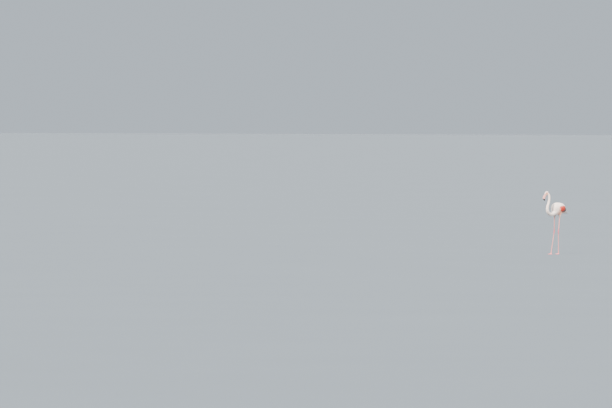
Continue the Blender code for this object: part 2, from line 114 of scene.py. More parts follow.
def curve(rows, count):
    """count points on a smooth curve through every row."""
    rows = np.asarray(rows, float)
    t = np.linspace(0, len(rows) - 1, count)
    i = np.minimum(t.astype(int), len(rows) - 2)
    f = (t - i)[:, None]
    full = np.vstack([2 * rows[0] - rows[1], rows, 2 * rows[-1] - rows[-2]])
    a, b, c, d = full[i], full[i + 1], full[i + 2], full[i + 3]
    return 0.5 * (2 * b + (c - a) * f + (2 * a - 5 * b + 4 * c - d) * f ** 2
                  + (3 * b - a - 3 * c + d) * f ** 3)


def between(ends, share):
    """The value this share of the way from the first end to the second."""
    return ends[0] + (ends[1] - ends[0]) * share


def stations(table, y):
    """The table's other columns at this y."""
    return [np.interp(y, table[:, 0], column) for column in table.T[1:]]


def linear(colour):
    """An sRGB hex colour as linear RGBA."""
    parts = [int(colour[i:i + 2], 16) / 255 for i in (1, 3, 5)]
    return tuple(c / 12.92 if c <= 0.04045 else ((c + 0.055) / 1.055) ** 2.4 for c in parts) + (1.0,)


def feed(node, inputs):
    """Fills a node's inputs, in order or by name. A node stands for its first output, and a hex colour
    is turned to linear."""
    sockets = [socket for socket in node.inputs if socket.enabled]
    if isinstance(inputs, dict):
        sockets = [next(socket for socket in sockets if socket.name == name) for name in inputs]
        inputs = inputs.values()
    for socket, value in zip(sockets, inputs):
        if isinstance(value, bpy.types.Node):
            value = next(output for output in value.outputs if output.enabled)
        if isinstance(value, bpy.types.NodeSocket):
            node.id_data.links.new(value, socket)
        elif isinstance(value, str) and value.startswith("#"):
            socket.default_value = linear(value)
        else:
            socket.default_value = value


def add(tree, kind, inputs=(), **settings):
    """Adds a node with its settings and its inputs."""
    made = tree.nodes.new(kind)
    for name, value in settings.items():
        setattr(made, name, value)
    feed(made, inputs)
    return made


def placed(name, data):
    """A new object in the scene."""
    made = bpy.data.objects.new(name, data)
    bpy.context.scene.collection.objects.link(made)
    return made


def mesh_object(name, points, faces):
    mesh = bpy.data.meshes.new(name)
    mesh.from_pydata(np.asarray(points, float).tolist(), [], [list(map(int, f)) for f in faces])
    mesh.shade_smooth()
    return placed(name, mesh)


def column(source, key, width=3):
    """What each element of a mesh's list holds under this key."""
    found = np.empty(len(source) * width, np.float32)
    source.foreach_get(key, found)
    return found.reshape(-1, width).astype(float)


def points_of(mesh):
    return column(mesh.vertices, "co")


def normals_of(mesh):
    return column(mesh.vertex_normals, "vector")


def store(mesh, name, values):
    """A point attribute: a number, a direction or a colour for each point."""
    values = np.ascontiguousarray(values, np.float32)
    width = values.shape[1] if values.ndim > 1 else 1
    kind, key = {1: ("FLOAT", "value"), 3: ("FLOAT_VECTOR", "vector"), 4: ("FLOAT_COLOR", "color")}[width]
    mesh.attributes.new(name, kind, "POINT").data.foreach_set(key, values.ravel())


def finished(made):
    """The object with its modifiers applied, as a plain mesh."""
    graph = bpy.context.evaluated_depsgraph_get()
    graph.update()
    mesh = bpy.data.meshes.new_from_object(made.evaluated_get(graph), preserve_all_data_layers=True,
                                           depsgraph=graph)
    made.modifiers.clear()
    made.data = mesh
    return made


def faced_outward(made):
    bm = bmesh.new()
    bm.from_mesh(made.data)
    bmesh.ops.recalc_face_normals(bm, faces=bm.faces)
    bm.to_mesh(made.data)
    bm.free()
    return made


def ring_faces(rings, around, start=0):
    """Four-sided faces between neighbouring rings of points, from the point numbered start."""
    faces = []
    for i in range(rings - 1):
        for k in range(around):
            a, b = start + i * around + k, start + i * around + (k + 1) % around
            faces.append((a, b, b + around, a + around))
    return faces


def cad_copy(name, nodes, grow):
    """The solids of these nodes in one object, each grown a little so that neighbours overlap."""
    bm = bmesh.new()
    for node_name in nodes:
        bm.from_mesh(NODES[node_name].data)
    bmesh.ops.remove_doubles(bm, verts=bm.verts, dist=2e-5)
    bm.normal_update()
    moves = [v.normal * grow for v in bm.verts]
    for v, move in zip(bm.verts, moves):
        v.co += move
    mesh = bpy.data.meshes.new(name)
    bm.to_mesh(mesh)
    bm.free()
    return placed(name, mesh)


def melted(made, voxel, rounds):
    """One even surface round everything in the object, smoothed."""
    remesh = made.modifiers.new("melt", "REMESH")
    remesh.mode = "VOXEL"
    remesh.voxel_size = voxel
    smooth = made.modifiers.new("soften", "SMOOTH")
    smooth.factor, smooth.iterations = 0.5, rounds
    finished(made).data.shade_smooth()
    return made


def crisp_rims(made):
    """Smooth shading but for the thin edges, so that a vane looks flat and not swollen."""
    made.data.shade_smooth()
    made.data.set_sharp_from_angle(angle=math.radians(65))
    return made


def surface_of(made):
    """The object's surface, for rays and nearest points."""
    bm = bmesh.new()
    bm.from_mesh(made.data)
    found = BVHTree.FromBMesh(bm)
    bm.free()
    return found


# ---------------------------------------------------------------- the bird's own coordinates
def head_axes():
    level = np.array((-math.sin(HEAD_TURN), -math.cos(HEAD_TURN), 0.0))
    up = np.array((0.0, 0.0, 1.0))
    forward = level * math.cos(HEAD_PITCH) - up * math.sin(HEAD_PITCH)
    crown = level * math.sin(HEAD_PITCH) + up * math.cos(HEAD_PITCH)
    return np.array((forward, crown, np.cross(crown, forward)))


HEAD_AXES = head_axes()
NECK_LINE = curve(NECK, 241)
NECK_POINTS = NECK_LINE[:, :3] + PLACE
NECK_WAY = unit(np.gradient(NECK_POINTS, axis=0))
NECK_ROW = np.linspace(0, len(NECK) - 1, 241)


def head_point(forward, crown, out=0.0):
    return HEAD_AT + np.array((forward, crown, out)) @ HEAD_AXES


def in_head(points):
    """Points in the head's frame: forward, up, out."""
    return (points - HEAD_AT) @ HEAD_AXES.T


def head_gap(points):
    return np.linalg.norm(points - HEAD_AT, axis=1)


def on_neck(points):
    """For each point: index of the nearest sample of the neck line, and the distance in radii."""
    index = np.empty(len(points), int)
    reach = np.empty(len(points))
    batch = 4000
    for i in range(0, len(points), batch):
        gap = np.linalg.norm(points[i:i + batch, None] - NECK_POINTS[None], axis=2)
        index[i:i + batch] = gap.argmin(axis=1)
        reach[i:i + batch] = gap.min(axis=1)
    return index, reach / NECK_LINE[index, 3]


def on_trunk(points):
    """Y and degrees from the ridge of the back, whichever side."""
    q = points - PLACE
    top, bottom, half = stations(TRUNK, q[:, 1])
    waist = bottom + WAIST * (top - bottom)
    rise = q[:, 2] - waist
    height = np.where(rise > 0, top - waist, waist - bottom)
    return q[:, 1], np.degrees(np.arctan2(np.abs(q[:, 0]) / half, rise / height))


def shares(points):
    """Each point's place on the neck line, and how much it belongs to the neck, the head and the thighs."""
    index, reach = on_neck(points)
    row = NECK_ROW[index]
    neck = ease(row, 0.9, 2.6) * (1 - ease(reach, 1.5, 2.0))
    head = (1 - ease(head_gap(points), 0.034, 0.050)) * ease(row, 10.5, 11.6)
    thigh = np.zeros(len(points))
    for hip in HIPS.values():
        gap = np.linalg.norm((points[:, :2] - hip) / (0.034, 0.046), axis=1)
        thigh = np.maximum(thigh, (1 - ease(gap, 0.85, 1.25)) * (1 - ease(points[:, 2], 0.652, 0.678)))
    return index, neck, head, thigh


def ripple(points, size, seed):
    """A soft uneven value about 0, which breaks up a marking's edge."""
    turn = np.random.default_rng(seed)
    total = np.zeros(len(points))
    for _ in range(5):
        way = unit(turn.normal(size=3)) * (2 * math.pi / size) * turn.uniform(0.6, 1.5)
        total += np.sin(points @ way + turn.uniform(0, 6.28))
    return total / 3.0


def wing_hem(y):
    """Degrees from the ridge to the hem of the wing's feathers, which droop a little past the wing itself."""
    return stations(WING, y)[1] + 13 * ease(y, -0.085, -0.020) * (1 - ease(y, 0.190, 0.245))


def markings(points):
    """Coral, black and blush shares of the plumage at these points."""
    y, degrees = on_trunk(points)
    y = y + 0.008 * ripple(points, 0.06, 3)
    degrees = degrees + 3.5 * ripple(points, 0.05, 5)
    _, neck, head, thigh = shares(points)
    upper, lower = stations(WING, y)[0], wing_hem(y)
    body = (1 - neck) * (1 - head) * (1 - thigh)
    in_wing = ease(degrees, upper - 2, upper + 8) * (1 - ease(degrees, lower + 1, lower + 7)) * body
    # the black begins further forward the lower it is
    rear = y + 0.0014 * (degrees - 80)
    coral = in_wing * ease(y, -0.060, -0.036) * ease(degrees, 54, 70) * (1 - ease(rear, 0.110, 0.135))
    coral = coral * (1 - ease(degrees, lower - 12, lower - 7))
    black = in_wing * ease(rear, 0.090, 0.110) * ease(degrees, 62, 74) * (1 - ease(y, 0.258, 0.275))
    # a dusky hem along the wing's lower edge
    edge = in_wing * ease(degrees, lower - 20, lower - 6) * ease(y, -0.02, 0.03) * 0.45
    black = np.maximum(black, edge * (1 - ease(y, 0.15, 0.19)))
    belly = body * ease(degrees, 118, 138) * ease(y, -0.06, 0.0) * (1 - ease(y, 0.17, 0.24))
    flank = body * ease(degrees, 68, 104) * ease(y, -0.13, -0.05) * (1 - ease(y, 0.10, 0.22))
    q = in_head(points)
    cheek = np.exp(-((q[:, 0] + 0.002) / 0.020) ** 2 - ((q[:, 1] + 0.005) / 0.016) ** 2)
    cheek = cheek * (1 - ease(head_gap(points), 0.040, 0.060))
    coral = np.maximum(coral, 0.22 * cheek)
    blush = 0.16 + 0.50 * belly + 0.45 * thigh + 1.1 * cheek + 0.10 * ease(y, 0.0, 0.2) * body
    blush = blush + 0.85 * flank + 0.15 * neck * ease(ripple(points, 0.09, 8), -0.3, 1.0)
    return np.clip(coral, 0, 1), np.clip(black, 0, 1), np.clip(blush, 0, 1)


# ---------------------------------------------------------------- materials
def new_material(name):
    made = bpy.data.materials.new(name)
    made.use_nodes = True
    tree = made.node_tree
    tree.nodes.clear()
    shader = add(tree, "ShaderNodeBsdfPrincipled")
    add(tree, "ShaderNodeOutputMaterial", (shader,))
    return made, tree, shader


def plumage_colour(tree):
    """White to blush, coral and black by the marking attribute, each feather a shade off the next."""
    mark = add(tree, "ShaderNodeAttribute", attribute_name="marking")
    coral, black, blush = add(tree, "ShaderNodeSeparateColor", (mark,)).outputs
    shade = mark.outputs["Alpha"]
    pale = add(tree, "ShaderNodeMix", (blush, "#F8F3ED", "#F0AF93"), data_type="RGBA")
    warm = add(tree, "ShaderNodeMix", (shade, "#D42609", "#E84316"), data_type="RGBA")
    tinted = add(tree, "ShaderNodeMix", (coral, pale, warm), data_type="RGBA")
    dark = add(tree, "ShaderNodeMix", (shade, "#190D0F", "#2E1718"), data_type="RGBA")
    found = add(tree, "ShaderNodeMix", (black, tinted, dark), data_type="RGBA")
    tone = add(tree, "ShaderNodeMapRange", (shade, 0.0, 1.0, 0.90, 1.03))
    return add(tree, "ShaderNodeMix", (1.0, found, tone), data_type="RGBA", blend_type="MULTIPLY")


def plumage_material(name, barb, relief, shaft_share, sheen):
    """Keratin barbs laid side by side off a shaft: a matt, faintly silky surface with fine slanting lines.
    Real barbs are about 0.4 mm apart; they are drawn coarser, at the barb spacing given, to show."""
    made, tree, shader = new_material(name)
    place = add(tree, "ShaderNodeUVMap", uv_map="vane")
    across, along, _ = add(tree, "ShaderNodeSeparateXYZ", (place,)).outputs
    aside = add(tree, "ShaderNodeMath", (across,), operation="ABSOLUTE")
    slant = add(tree, "ShaderNodeMath", (aside, -1.1, along), operation="MULTIPLY_ADD")
    wander = add(tree, "ShaderNodeTexNoise", {"Vector": place, "Scale": 160.0, "Detail": 2.0})
    bent = add(tree, "ShaderNodeMath", (wander, barb * 1.6, slant), operation="MULTIPLY_ADD")
    turns = add(tree, "ShaderNodeMath", (bent, 2 * math.pi / barb), operation="MULTIPLY")
    lines = add(tree, "ShaderNodeMath", (turns,), operation="SINE")
    # the shaft shows as a strip 0.7 mm wide
    shaft = add(tree, "ShaderNodeMath", (aside, 0.00035), operation="LESS_THAN")
    tone = add(tree, "ShaderNodeMapRange", (lines, -1.0, 1.0, 0.93, 1.0))
    colour = add(tree, "ShaderNodeMix", (1.0, plumage_colour(tree), tone), data_type="RGBA",
                 blend_type="MULTIPLY")
    seen = add(tree, "ShaderNodeMath", (shaft, shaft_share), operation="MULTIPLY")
    ribbed = add(tree, "ShaderNodeMix", (seen, colour, "#E9D9C8"), data_type="RGBA")
    height = add(tree, "ShaderNodeMath", (shaft, 1.5, lines), operation="MULTIPLY_ADD")
    feed(shader, {
        "Base Color": ribbed,
        "Roughness": add(tree, "ShaderNodeMapRange", (lines, -1.0, 1.0, 0.72, 0.60)),
        "Normal": add(tree, "ShaderNodeBump", {"Height": height, "Strength": relief, "Distance": 0.0002}),
        "Sheen Weight": sheen, "Sheen Roughness": 0.45})
    return made


def hide_material():
    """Soft skin under the down: it carries the coat's markings and shows bare and pink at the lores and lids.
    Its pores are about 0.7 mm apart, drawn coarser than real ones to show."""
    made, tree, shader = new_material("soft_hide")
    place = add(tree, "ShaderNodeTexCoord").outputs["Object"]
    bare = add(tree, "ShaderNodeAttribute", attribute_name="bare").outputs["Fac"]
    fine = add(tree, "ShaderNodeTexNoise", {"Vector": place, "Scale": 900.0, "Detail": 3.0})
    pores = add(tree, "ShaderNodeTexVoronoi", {"Vector": place, "Scale": 1400.0})
    flesh = add(tree, "ShaderNodeMix", (fine, "#E9A093", "#F3BFB0"), data_type="RGBA")
    height = add(tree, "ShaderNodeMath", (pores, 0.6, fine), operation="MULTIPLY_ADD")
    feed(shader, {
        "Base Color": add(tree, "ShaderNodeMix", (bare, plumage_colour(tree), flesh), data_type="RGBA"),
        "Roughness": add(tree, "ShaderNodeMapRange", (fine, 0.0, 1.0, 0.50, 0.68)),
        "Normal": add(tree, "ShaderNodeBump", {"Height": height, "Strength": 0.5, "Distance": 0.0004})})
    return made


def leg_material():
    """Scaled leg skin: small horn plates with darker creases between, hotter pink at the joints. The plates
    are 2.6 mm wide and squat."""
    made, tree, shader = new_material("scaled_leg_skin")
    place = add(tree, "ShaderNodeTexCoord").outputs["Object"]
    joint = add(tree, "ShaderNodeAttribute", attribute_name="joint").outputs["Fac"]
    squat = add(tree, "ShaderNodeMapping", {"Vector": place, "Scale": (1.0, 1.0, 1.9)})
    plates = add(tree, "ShaderNodeTexVoronoi", {"Vector": squat, "Scale": 380.0}, feature="DISTANCE_TO_EDGE")
    cells = add(tree, "ShaderNodeTexVoronoi", {"Vector": squat, "Scale": 380.0})
    crease = add(tree, "ShaderNodeMapRange", (plates, 0.0, 0.09, 0.0, 1.0))
    drift = add(tree, "ShaderNodeTexNoise", {"Vector": place, "Scale": 38.0, "Detail": 3.0})
    pale = add(tree, "ShaderNodeMix", (drift, "#EE8581", "#F8A9A0"), data_type="RGBA")
    hot = add(tree, "ShaderNodeMix", (joint, pale, "#E8546B"), data_type="RGBA")
    plate = add(tree, "ShaderNodeMix", (0.16, hot, cells.outputs["Color"]), data_type="RGBA",
                blend_type="OVERLAY")
    feed(shader, {
        "Base Color": add(tree, "ShaderNodeMix", (crease, "#DF7F80", plate), data_type="RGBA"),
        "Roughness": add(tree, "ShaderNodeMapRange", (crease, 0.0, 1.0, 0.62, 0.42)),
        "Normal": add(tree, "ShaderNodeBump", {"Height": crease, "Strength": 0.75, "Distance": 0.0005})})
    return made


def bill_material():
    """Horn grown in layers: satin pink to past the bend, then black to the tip, with mottling every 4 mm or
    so that also frays the edge between the two colours."""
    made, tree, shader = new_material("bill_horn")
    place = add(tree, "ShaderNodeTexCoord").outputs["Object"]
    black = add(tree, "ShaderNodeAttribute", attribute_name="tip").outputs["Fac"]
    streak = add(tree, "ShaderNodeTexNoise", {"Vector": place, "Scale": 240.0, "Detail": 4.0})
    broad = add(tree, "ShaderNodeTexNoise", {"Vector": place, "Scale": 55.0, "Detail": 2.0})
    pale = add(tree, "ShaderNodeMix", (broad, "#E5867D", "#F7C5B8"), data_type="RGBA")
    pale = add(tree, "ShaderNodeMix", (0.22, pale, streak.outputs["Color"]), data_type="RGBA",
               blend_type="SOFT_LIGHT")
    centred = add(tree, "ShaderNodeMath", (streak, 0.5), operation="SUBTRACT")
    edge = add(tree, "ShaderNodeMath", (centred, 0.22, black), operation="MULTIPLY_ADD")
    share = add(tree, "ShaderNodeMapRange", (edge, 0.46, 0.54, 0.0, 1.0))
    dark = add(tree, "ShaderNodeMix", (streak, "#171213", "#2C2324"), data_type="RGBA")
    feed(shader, {
        "Base Color": add(tree, "ShaderNodeMix", (share, pale, dark), data_type="RGBA"),
        "Roughness": add(tree, "ShaderNodeMapRange", (streak, 0.0, 1.0, 0.30, 0.46)),
        "Normal": add(tree, "ShaderNodeBump", {"Height": streak, "Strength": 0.45, "Distance": 0.0004}),
        "IOR": 1.54})
    return made


def eye_material():
    """A wet eye: pale yellow iris with fine spokes and a dark rim, black pupil, clear gloss over all."""
    made, tree, shader = new_material("wet_eye")
    reach = add(tree, "ShaderNodeAttribute", attribute_name="spread").outputs["Fac"]
    spokes = add(tree, "ShaderNodeAttribute", attribute_name="spokes").outputs["Fac"]
    iris = add(tree, "ShaderNodeMix", (spokes, "#D9B84E", "#F4E6A0"), data_type="RGBA")
    rim = add(tree, "ShaderNodeMapRange", (reach, 0.43, 0.50, 0.0, 1.0))
    rimmed = add(tree, "ShaderNodeMix", (rim, iris, "#3A2620"), data_type="RGBA")
    pupil = add(tree, "ShaderNodeMapRange", (reach, 0.19, 0.21, 0.0, 1.0))
    feed(shader, {
        "Base Color": add(tree, "ShaderNodeMix", (pupil, "#050505", rimmed), data_type="RGBA"),
        "Roughness": 0.16, "IOR": 1.38, "Coat Weight": 1.0, "Coat Roughness": 0.03})
    return made


def claw_material():
    """Dark horn, worn a little paler in flecks about 1.4 mm apart."""
    made, tree, shader = new_material("claw_horn")
    place = add(tree, "ShaderNodeTexCoord").outputs["Object"]
    streak = add(tree, "ShaderNodeTexNoise", {"Vector": place, "Scale": 700.0, "Detail": 3.0})
    feed(shader, {
        "Base Color": add(tree, "ShaderNodeMix", (streak, "#2A1C1B", "#4A332F"), data_type="RGBA"),
        "Roughness": add(tree, "ShaderNodeMapRange", (streak, 0.0, 1.0, 0.32, 0.5)),
        "IOR": 1.54})
    return made


def floor_material():
    """A matt painted studio floor with a barely uneven tone. Under the strong light it shows pale."""
    made, tree, shader = new_material("matt_studio_floor")
    place = add(tree, "ShaderNodeTexCoord").outputs["Object"]
    drift = add(tree, "ShaderNodeTexNoise", {"Vector": place, "Scale": 0.35, "Detail": 2.0})
    feed(shader, {
        "Base Color": add(tree, "ShaderNodeMix", (drift, "#4D5962", "#525E67"), data_type="RGBA"),
        "Roughness": 0.9})
    return made


# ---------------------------------------------------------------- the form under the feathers, and the lie
def along_surface(way, out):
    return unit(way - out * (way * out).sum(axis=1)[:, None])


def lie_of(points, out):
    """Which way the feathers lie: from the bill over the head, down the neck, back along the body."""
    index, neck, head, thigh = shares(points)
    y = points[:, 1] - PLACE[1]
    way = np.tile((0.0, 1.0, -0.10), (len(points), 1))
    # over the shoulders the feathers rise to the back, on the breast they drop to the belly
    way[:, 2] += ease(-y, 0.03, 0.12) * (1.5 * ease(points[:, 2], 0.700, 0.745) - 0.6)
    over = 1.5 * ease(-in_head(points)[:, 0], -0.010, 0.030)
    head_way = -HEAD_AXES[0] - HEAD_AXES[1] * over[:, None]
    for share, other in ((neck, -NECK_WAY[index]), (head, head_way), (thigh, np.array((0.0, 0.15, -1.0)))):
        way = way * (1 - share)[:, None] + other * share[:, None]
    return along_surface(way, out)


def spread(mesh, values, rounds):
    """Each point's value averaged with its neighbours'."""
    ends = np.empty(len(mesh.edges) * 2, np.int32)
    mesh.edges.foreach_get("vertices", ends)
    one, two = ends.reshape(-1, 2).T
    size = len(mesh.vertices)
    count = np.bincount(one, minlength=size) + np.bincount(two, minlength=size)
    for _ in range(rounds):
        total = np.stack([np.bincount(one, part[two], size) + np.bincount(two, part[one], size)
                          for part in values.T], axis=1)
        values = 0.4 * values + 0.6 * total / count[:, None]
    return values


def bare_share(points):
    """Bare skin: the lores from bill to eye, and a ring round each eye."""
    q = in_head(points)
    head = 1 - ease(head_gap(points), 0.040, 0.052)
    lores = ease(q[:, 0], 0.0135, 0.0175) * (1 - ease(q[:, 1] - 0.25 * (q[:, 0] - 0.02), 0.012, 0.0155))
    lores = lores * ease(q[:, 1], -0.016, -0.010)
    ring = 1 - ease(np.hypot(q[:, 0] - EYE_AT[0], q[:, 1] - EYE_AT[1]), 0.0058, 0.0076)
    return head * np.maximum(lores, ring * ease(np.abs(q[:, 2]), 0.008, 0.012))


def make_form():
    """The plumage's outline as one surface, which keeps where the small feathers grow, their lie and size."""
    form = melted(cad_copy("coat_form", BODY_NODES, CAD_GROWN), voxel=0.0028, rounds=7)
    mesh = form.data
    points = points_of(mesh)
    out = unit(spread(mesh, normals_of(mesh), 3))
    way = spread(mesh, lie_of(points, out), 10)
    index, neck, head, thigh = shares(points)
    row = NECK_ROW[index]
    y, degrees = on_trunk(points)
    body = (1 - neck) * (1 - head) * (1 - thigh)
    size = 1.0 + 0.35 * ease(y, -0.02, 0.12) - 0.30 * ease(-y, 0.06, 0.12)
    size = size * (1 - neck) + (1.30 - 0.45 * ease(row, 2.0, 8.5) - 0.35 * ease(row, 9.5, 12.0)) * neck
    size = size * (1 - head) + (1.05 + 0.35 * ease(-in_head(points)[:, 0], 0.015, 0.035)) * head
    # the small feathers lie deeper where long rows cover them, most of all under the wing's front
    plumed = body * ease(y, -0.079, -0.077) * (1 - ease(degrees, wing_hem(y) - 5, wing_hem(y) - 4))
    deeper = 0.0012 * ease(y, 0.0, 0.03) + 0.0026 * (1 - ease(y, -0.045, -0.025))
    kept = {
        "out": out,
        "lie": along_surface(way, out),
        "on_head": (head > 0.25) * (bare_share(points) <= 0.5),
        "on_neck_upper": (neck > 0.3) * (row > 6.35) * (head < 0.8),
        "on_neck_lower": (neck > 0.3) * (row < 6.65),
        "on_body": (body > 0.3) * (1 - ease(y, 0.212, 0.230)),
        "on_thigh": thigh > 0.35,
        "size": size,
        "sunk": (0.0024 + deeper * ease(degrees, 60, 70)) * plumed,
    }
    for name, values in kept.items():
        store(mesh, name, values)
    return form


# ---------------------------------------------------------------- the skin
def skin_depth(points):
    """How deep the skin lies under the plumage's outline."""
    _, neck, head, thigh = shares(points)
    depth = 0.0078 * (1 - neck) + 0.0019 * neck
    depth = depth * (1 - head) + 0.0011 * head
    depth = depth * (1 - thigh) + 0.0040 * thigh
    return depth * (1 - 0.75 * bare_share(points))


def eye_axes(sign):
    """Centre of the eyeball, its gaze, and its own up and forward directions."""
    centre = head_point(EYE_AT[0], EYE_AT[1], sign * EYE_AT[2])
    gaze = unit(sign * HEAD_AXES[2] + 0.20 * HEAD_AXES[0] - 0.04 * HEAD_AXES[1])
    up = unit(HEAD_AXES[1] - gaze * (HEAD_AXES[1] @ gaze))
    return centre, gaze, up, np.cross(up, gaze)


def eye_point(sign, t, a, radius):
    """A point round the eyeball: t away from its gaze, a round the gaze from ahead over up."""
    centre, gaze, up, ahead = eye_axes(sign)
    side = math.cos(a) * ahead + math.sin(a) * up
    return centre + (gaze * math.cos(t) + side * math.sin(t)) * radius


# the lids' rings outward: degrees past the opening's edge, and how far off the eyeball
LID_RINGS = ((-2.0, -0.0004), (0.0, 0.00015), (2.5, 0.00075), (6.5, 0.00105), (12.0, 0.00085),
             (19.0, 0.00045), (30.0, 0.0003), (44.0, 0.0007), (58.0, 0.0012))


def lid_mesh(sign):
    """The lids: a fleshy rim round an almond opening that lies on the eyeball and sinks into the head."""
    around = 48
    points = []
    for past, off in LID_RINGS:
        for k in range(around):
            a = 2 * math.pi * k / around
            wide = 42.0 if math.cos(a) > 0 else 40.0
            tall = 31.0 if math.sin(a) > 0 else 34.0
            corner = 3.4 * math.exp(-(math.sin(a) / 0.22) ** 2)
            t = math.radians(math.hypot(wide * math.cos(a), tall * math.sin(a)) + corner + past)
            wrinkle = 0.00012 * math.sin(9 * a + past) * min(max(past, 0) / 12, 1)
            points.append(eye_point(sign, t, a, EYE_RADIUS + off + wrinkle))
    faces = ring_faces(len(LID_RINGS), around)
    if np.cross(points[1] - points[0], points[around] - points[0]) @ eye_axes(sign)[1] < 0:
        faces = [face[::-1] for face in faces]
    return np.array(points), faces


def refine_head(mesh, closer):
    """Cuts the faces round the head finer and lays them on the head's own closer form."""
    centre, reach, fade = Vector(HEAD_AT), 0.052, 0.008
    bm = bmesh.new()
    bm.from_mesh(mesh)
    near = {v for v in bm.verts if (v.co - centre).length < reach}
    edges = [e for e in bm.edges if near.issuperset(e.verts)]
    bmesh.ops.subdivide_edges(bm, edges=edges, cuts=3, use_grid_fill=True)
    bmesh.ops.triangulate(bm, faces=[f for f in bm.faces if len(f.verts) > 4])
    for v in bm.verts:
        gap = (v.co - centre).length
        if gap < reach:
            v.co = v.co.lerp(closer.find_nearest(v.co)[0], min(1.0, (reach - gap) / fade))
    bm.to_mesh(mesh)
    bm.free()


def make_flesh():
    """Points, faces and bare share of the body, neck and head, sunk as deep as the feathers over them."""
    body = melted(cad_copy("flesh", BODY_NODES, CAD_GROWN), voxel=0.0044, rounds=8)
    head = melted(cad_copy("head_form", HEAD_NODES, CAD_GROWN), voxel=0.0011, rounds=8)
    refine_head(body.data, surface_of(head))
    mesh = body.data
    points = points_of(mesh)
    out = unit(spread(mesh, normals_of(mesh), 2))
    depth = skin_depth(points)
    # a thin part is sunk no more than a share of its own thickness
    solid = surface_of(body)
    for i in np.flatnonzero(depth > 0.0025):
        through = solid.ray_cast(Vector(points[i] - out[i] * 0.0006), Vector(-out[i]), 0.06)[3]
        if through is not None:
            depth[i] = min(depth[i], 0.28 * through)
    q = in_head(points)
    for sign in (1, -1):
        gap = np.linalg.norm(points - eye_axes(sign)[0], axis=1)
        depth = depth + 0.0009 * (1 - ease(gap, 0.0066, 0.0082))
    points = points - out * spread(mesh, depth[:, None], 3)
    creases = bare_share(points) * 0.00016 * np.sin(q[:, 0] * 2600 + 900 * q[:, 1])
    points = points + out * creases[:, None]
    # the rump's flesh ends short of the tail, in the hollow between wings and fan
    rear = 0.250 + PLACE[1]
    beyond = ease(points[:, 1], rear - 0.010, rear + 0.045)
    points[:, 1] = np.where(points[:, 1] > rear, rear + 0.35 * (points[:, 1] - rear), points[:, 1])
    points[:, 2] += 0.8 * beyond * (0.698 - points[:, 2])
    points[:, 0] -= 0.4 * beyond * (points[:, 0] - PLACE[0])
    faces = [tuple(face.vertices) for face in mesh.polygons]
    bpy.data.objects.remove(body)
    bpy.data.objects.remove(head)
    return points, faces, bare_share(points)


def make_legs():
    """Points and faces of the legs, melted with a pad over the toes' roots and a cone up into each thigh."""
    legs = cad_copy("legs", LEG_NODES, grow=0.00035)
    bm = bmesh.new()
    bm.from_mesh(legs.data)
    for x, y in FOOT_PADS:
        pad = bmesh.ops.create_uvsphere(bm, u_segments=20, v_segments=12, radius=0.011)["verts"]
        bmesh.ops.scale(bm, verts=pad, vec=(0.95, 1.25, 0.42))
        bmesh.ops.translate(bm, verts=pad, vec=Vector(PLACE) + Vector((x, y, 0.0049)))
    for hip in HIPS.values():
        cone = bmesh.ops.create_cone(bm, cap_ends=True, segments=20, radius1=0.0066, radius2=0.0105,
                                     depth=0.052)["verts"]
        bmesh.ops.translate(bm, verts=cone, vec=Vector((*hip, THIGH_END - 0.004)) + Vector((0, 0, 0.024)))
    bm.to_mesh(legs.data)
    bm.free()
    melted(legs, voxel=0.0013, rounds=4)
    points = points_of(legs.data) - normals_of(legs.data) * 0.00015
    faces = [tuple(face.vertices) for face in legs.data.polygons]
    bpy.data.objects.remove(legs)
    return points, faces


def make_skin():
    """One skin for all the flesh: body under the coat, bare lores and lids, and the scaled legs."""
    # points, faces, bare share, joint share, finish
    patches = [(*make_flesh(), 0.0, 0)]
    patches += [(*lid_mesh(sign), 1.0, 0.0, 0) for sign in (1, -1)]
    legs, leg_faces = make_legs()
    gap = np.min([np.linalg.norm((legs - ankle) * (1, 1, 0.55), axis=1) for ankle in ANKLES], axis=0)
    joint = np.maximum(0.9 * (1 - ease(gap, 0.014, 0.040)), 0.45 * (1 - ease(legs[:, 2], 0.008, 0.040)))
    patches.append((legs, leg_faces, 0.0, joint, 1))

    faces, finishes, start = [], [], 0
    for patch in patches:
        faces += [tuple(i + start for i in face) for face in patch[1]]
        finishes += [patch[4]] * len(patch[1])
        start += len(patch[0])
    skin = mesh_object("flamingo_skin", np.vstack([patch[0] for patch in patches]), faces)
    mesh = skin.data
    points = points_of(mesh)
    store(mesh, "marking", np.stack([*markings(points), np.full(len(points), 0.5)], axis=1))
    for k, name in ((2, "bare"), (3, "joint")):
        store(mesh, name, np.concatenate([np.broadcast_to(patch[k], len(patch[0])) for patch in patches]))
    mesh.materials.append(hide_material())
    mesh.materials.append(leg_material())
    mesh.polygons.foreach_set("material_index", np.array(finishes, np.int32))
    return skin


# ---------------------------------------------------------------- small feathers, laid by nodes
def vane_object(name, outline, thick, camber):
    """One vane, a unit long and a unit wide: a thin closed blade with its height kept as an attribute."""
    points, height = [(0, 0, 0)], [0.0]
    for v, half in outline:
        points += [(-half, v, 0), (0, v, 0), (half, v, 0), (0, v, 0)]
        height += [0.0, camber + thick / 2, 0.0, camber - thick / 2]
    points.append((0, 1, 0))
    height.append(0.0)
    last = len(points) - 1
    faces = []
    for k in range(4):
        faces.append((0, 1 + (k + 1) % 4, 1 + k))
        faces.append((last, last - 4 + k, last - 4 + (k + 1) % 4))
    made = mesh_object(name, points, faces + ring_faces(len(outline), 4, 1))
    across, along, _ = zip(*points)
    store(made.data, "along", along)
    store(made.data, "across", across)
    store(made.data, "height", height)
    return made


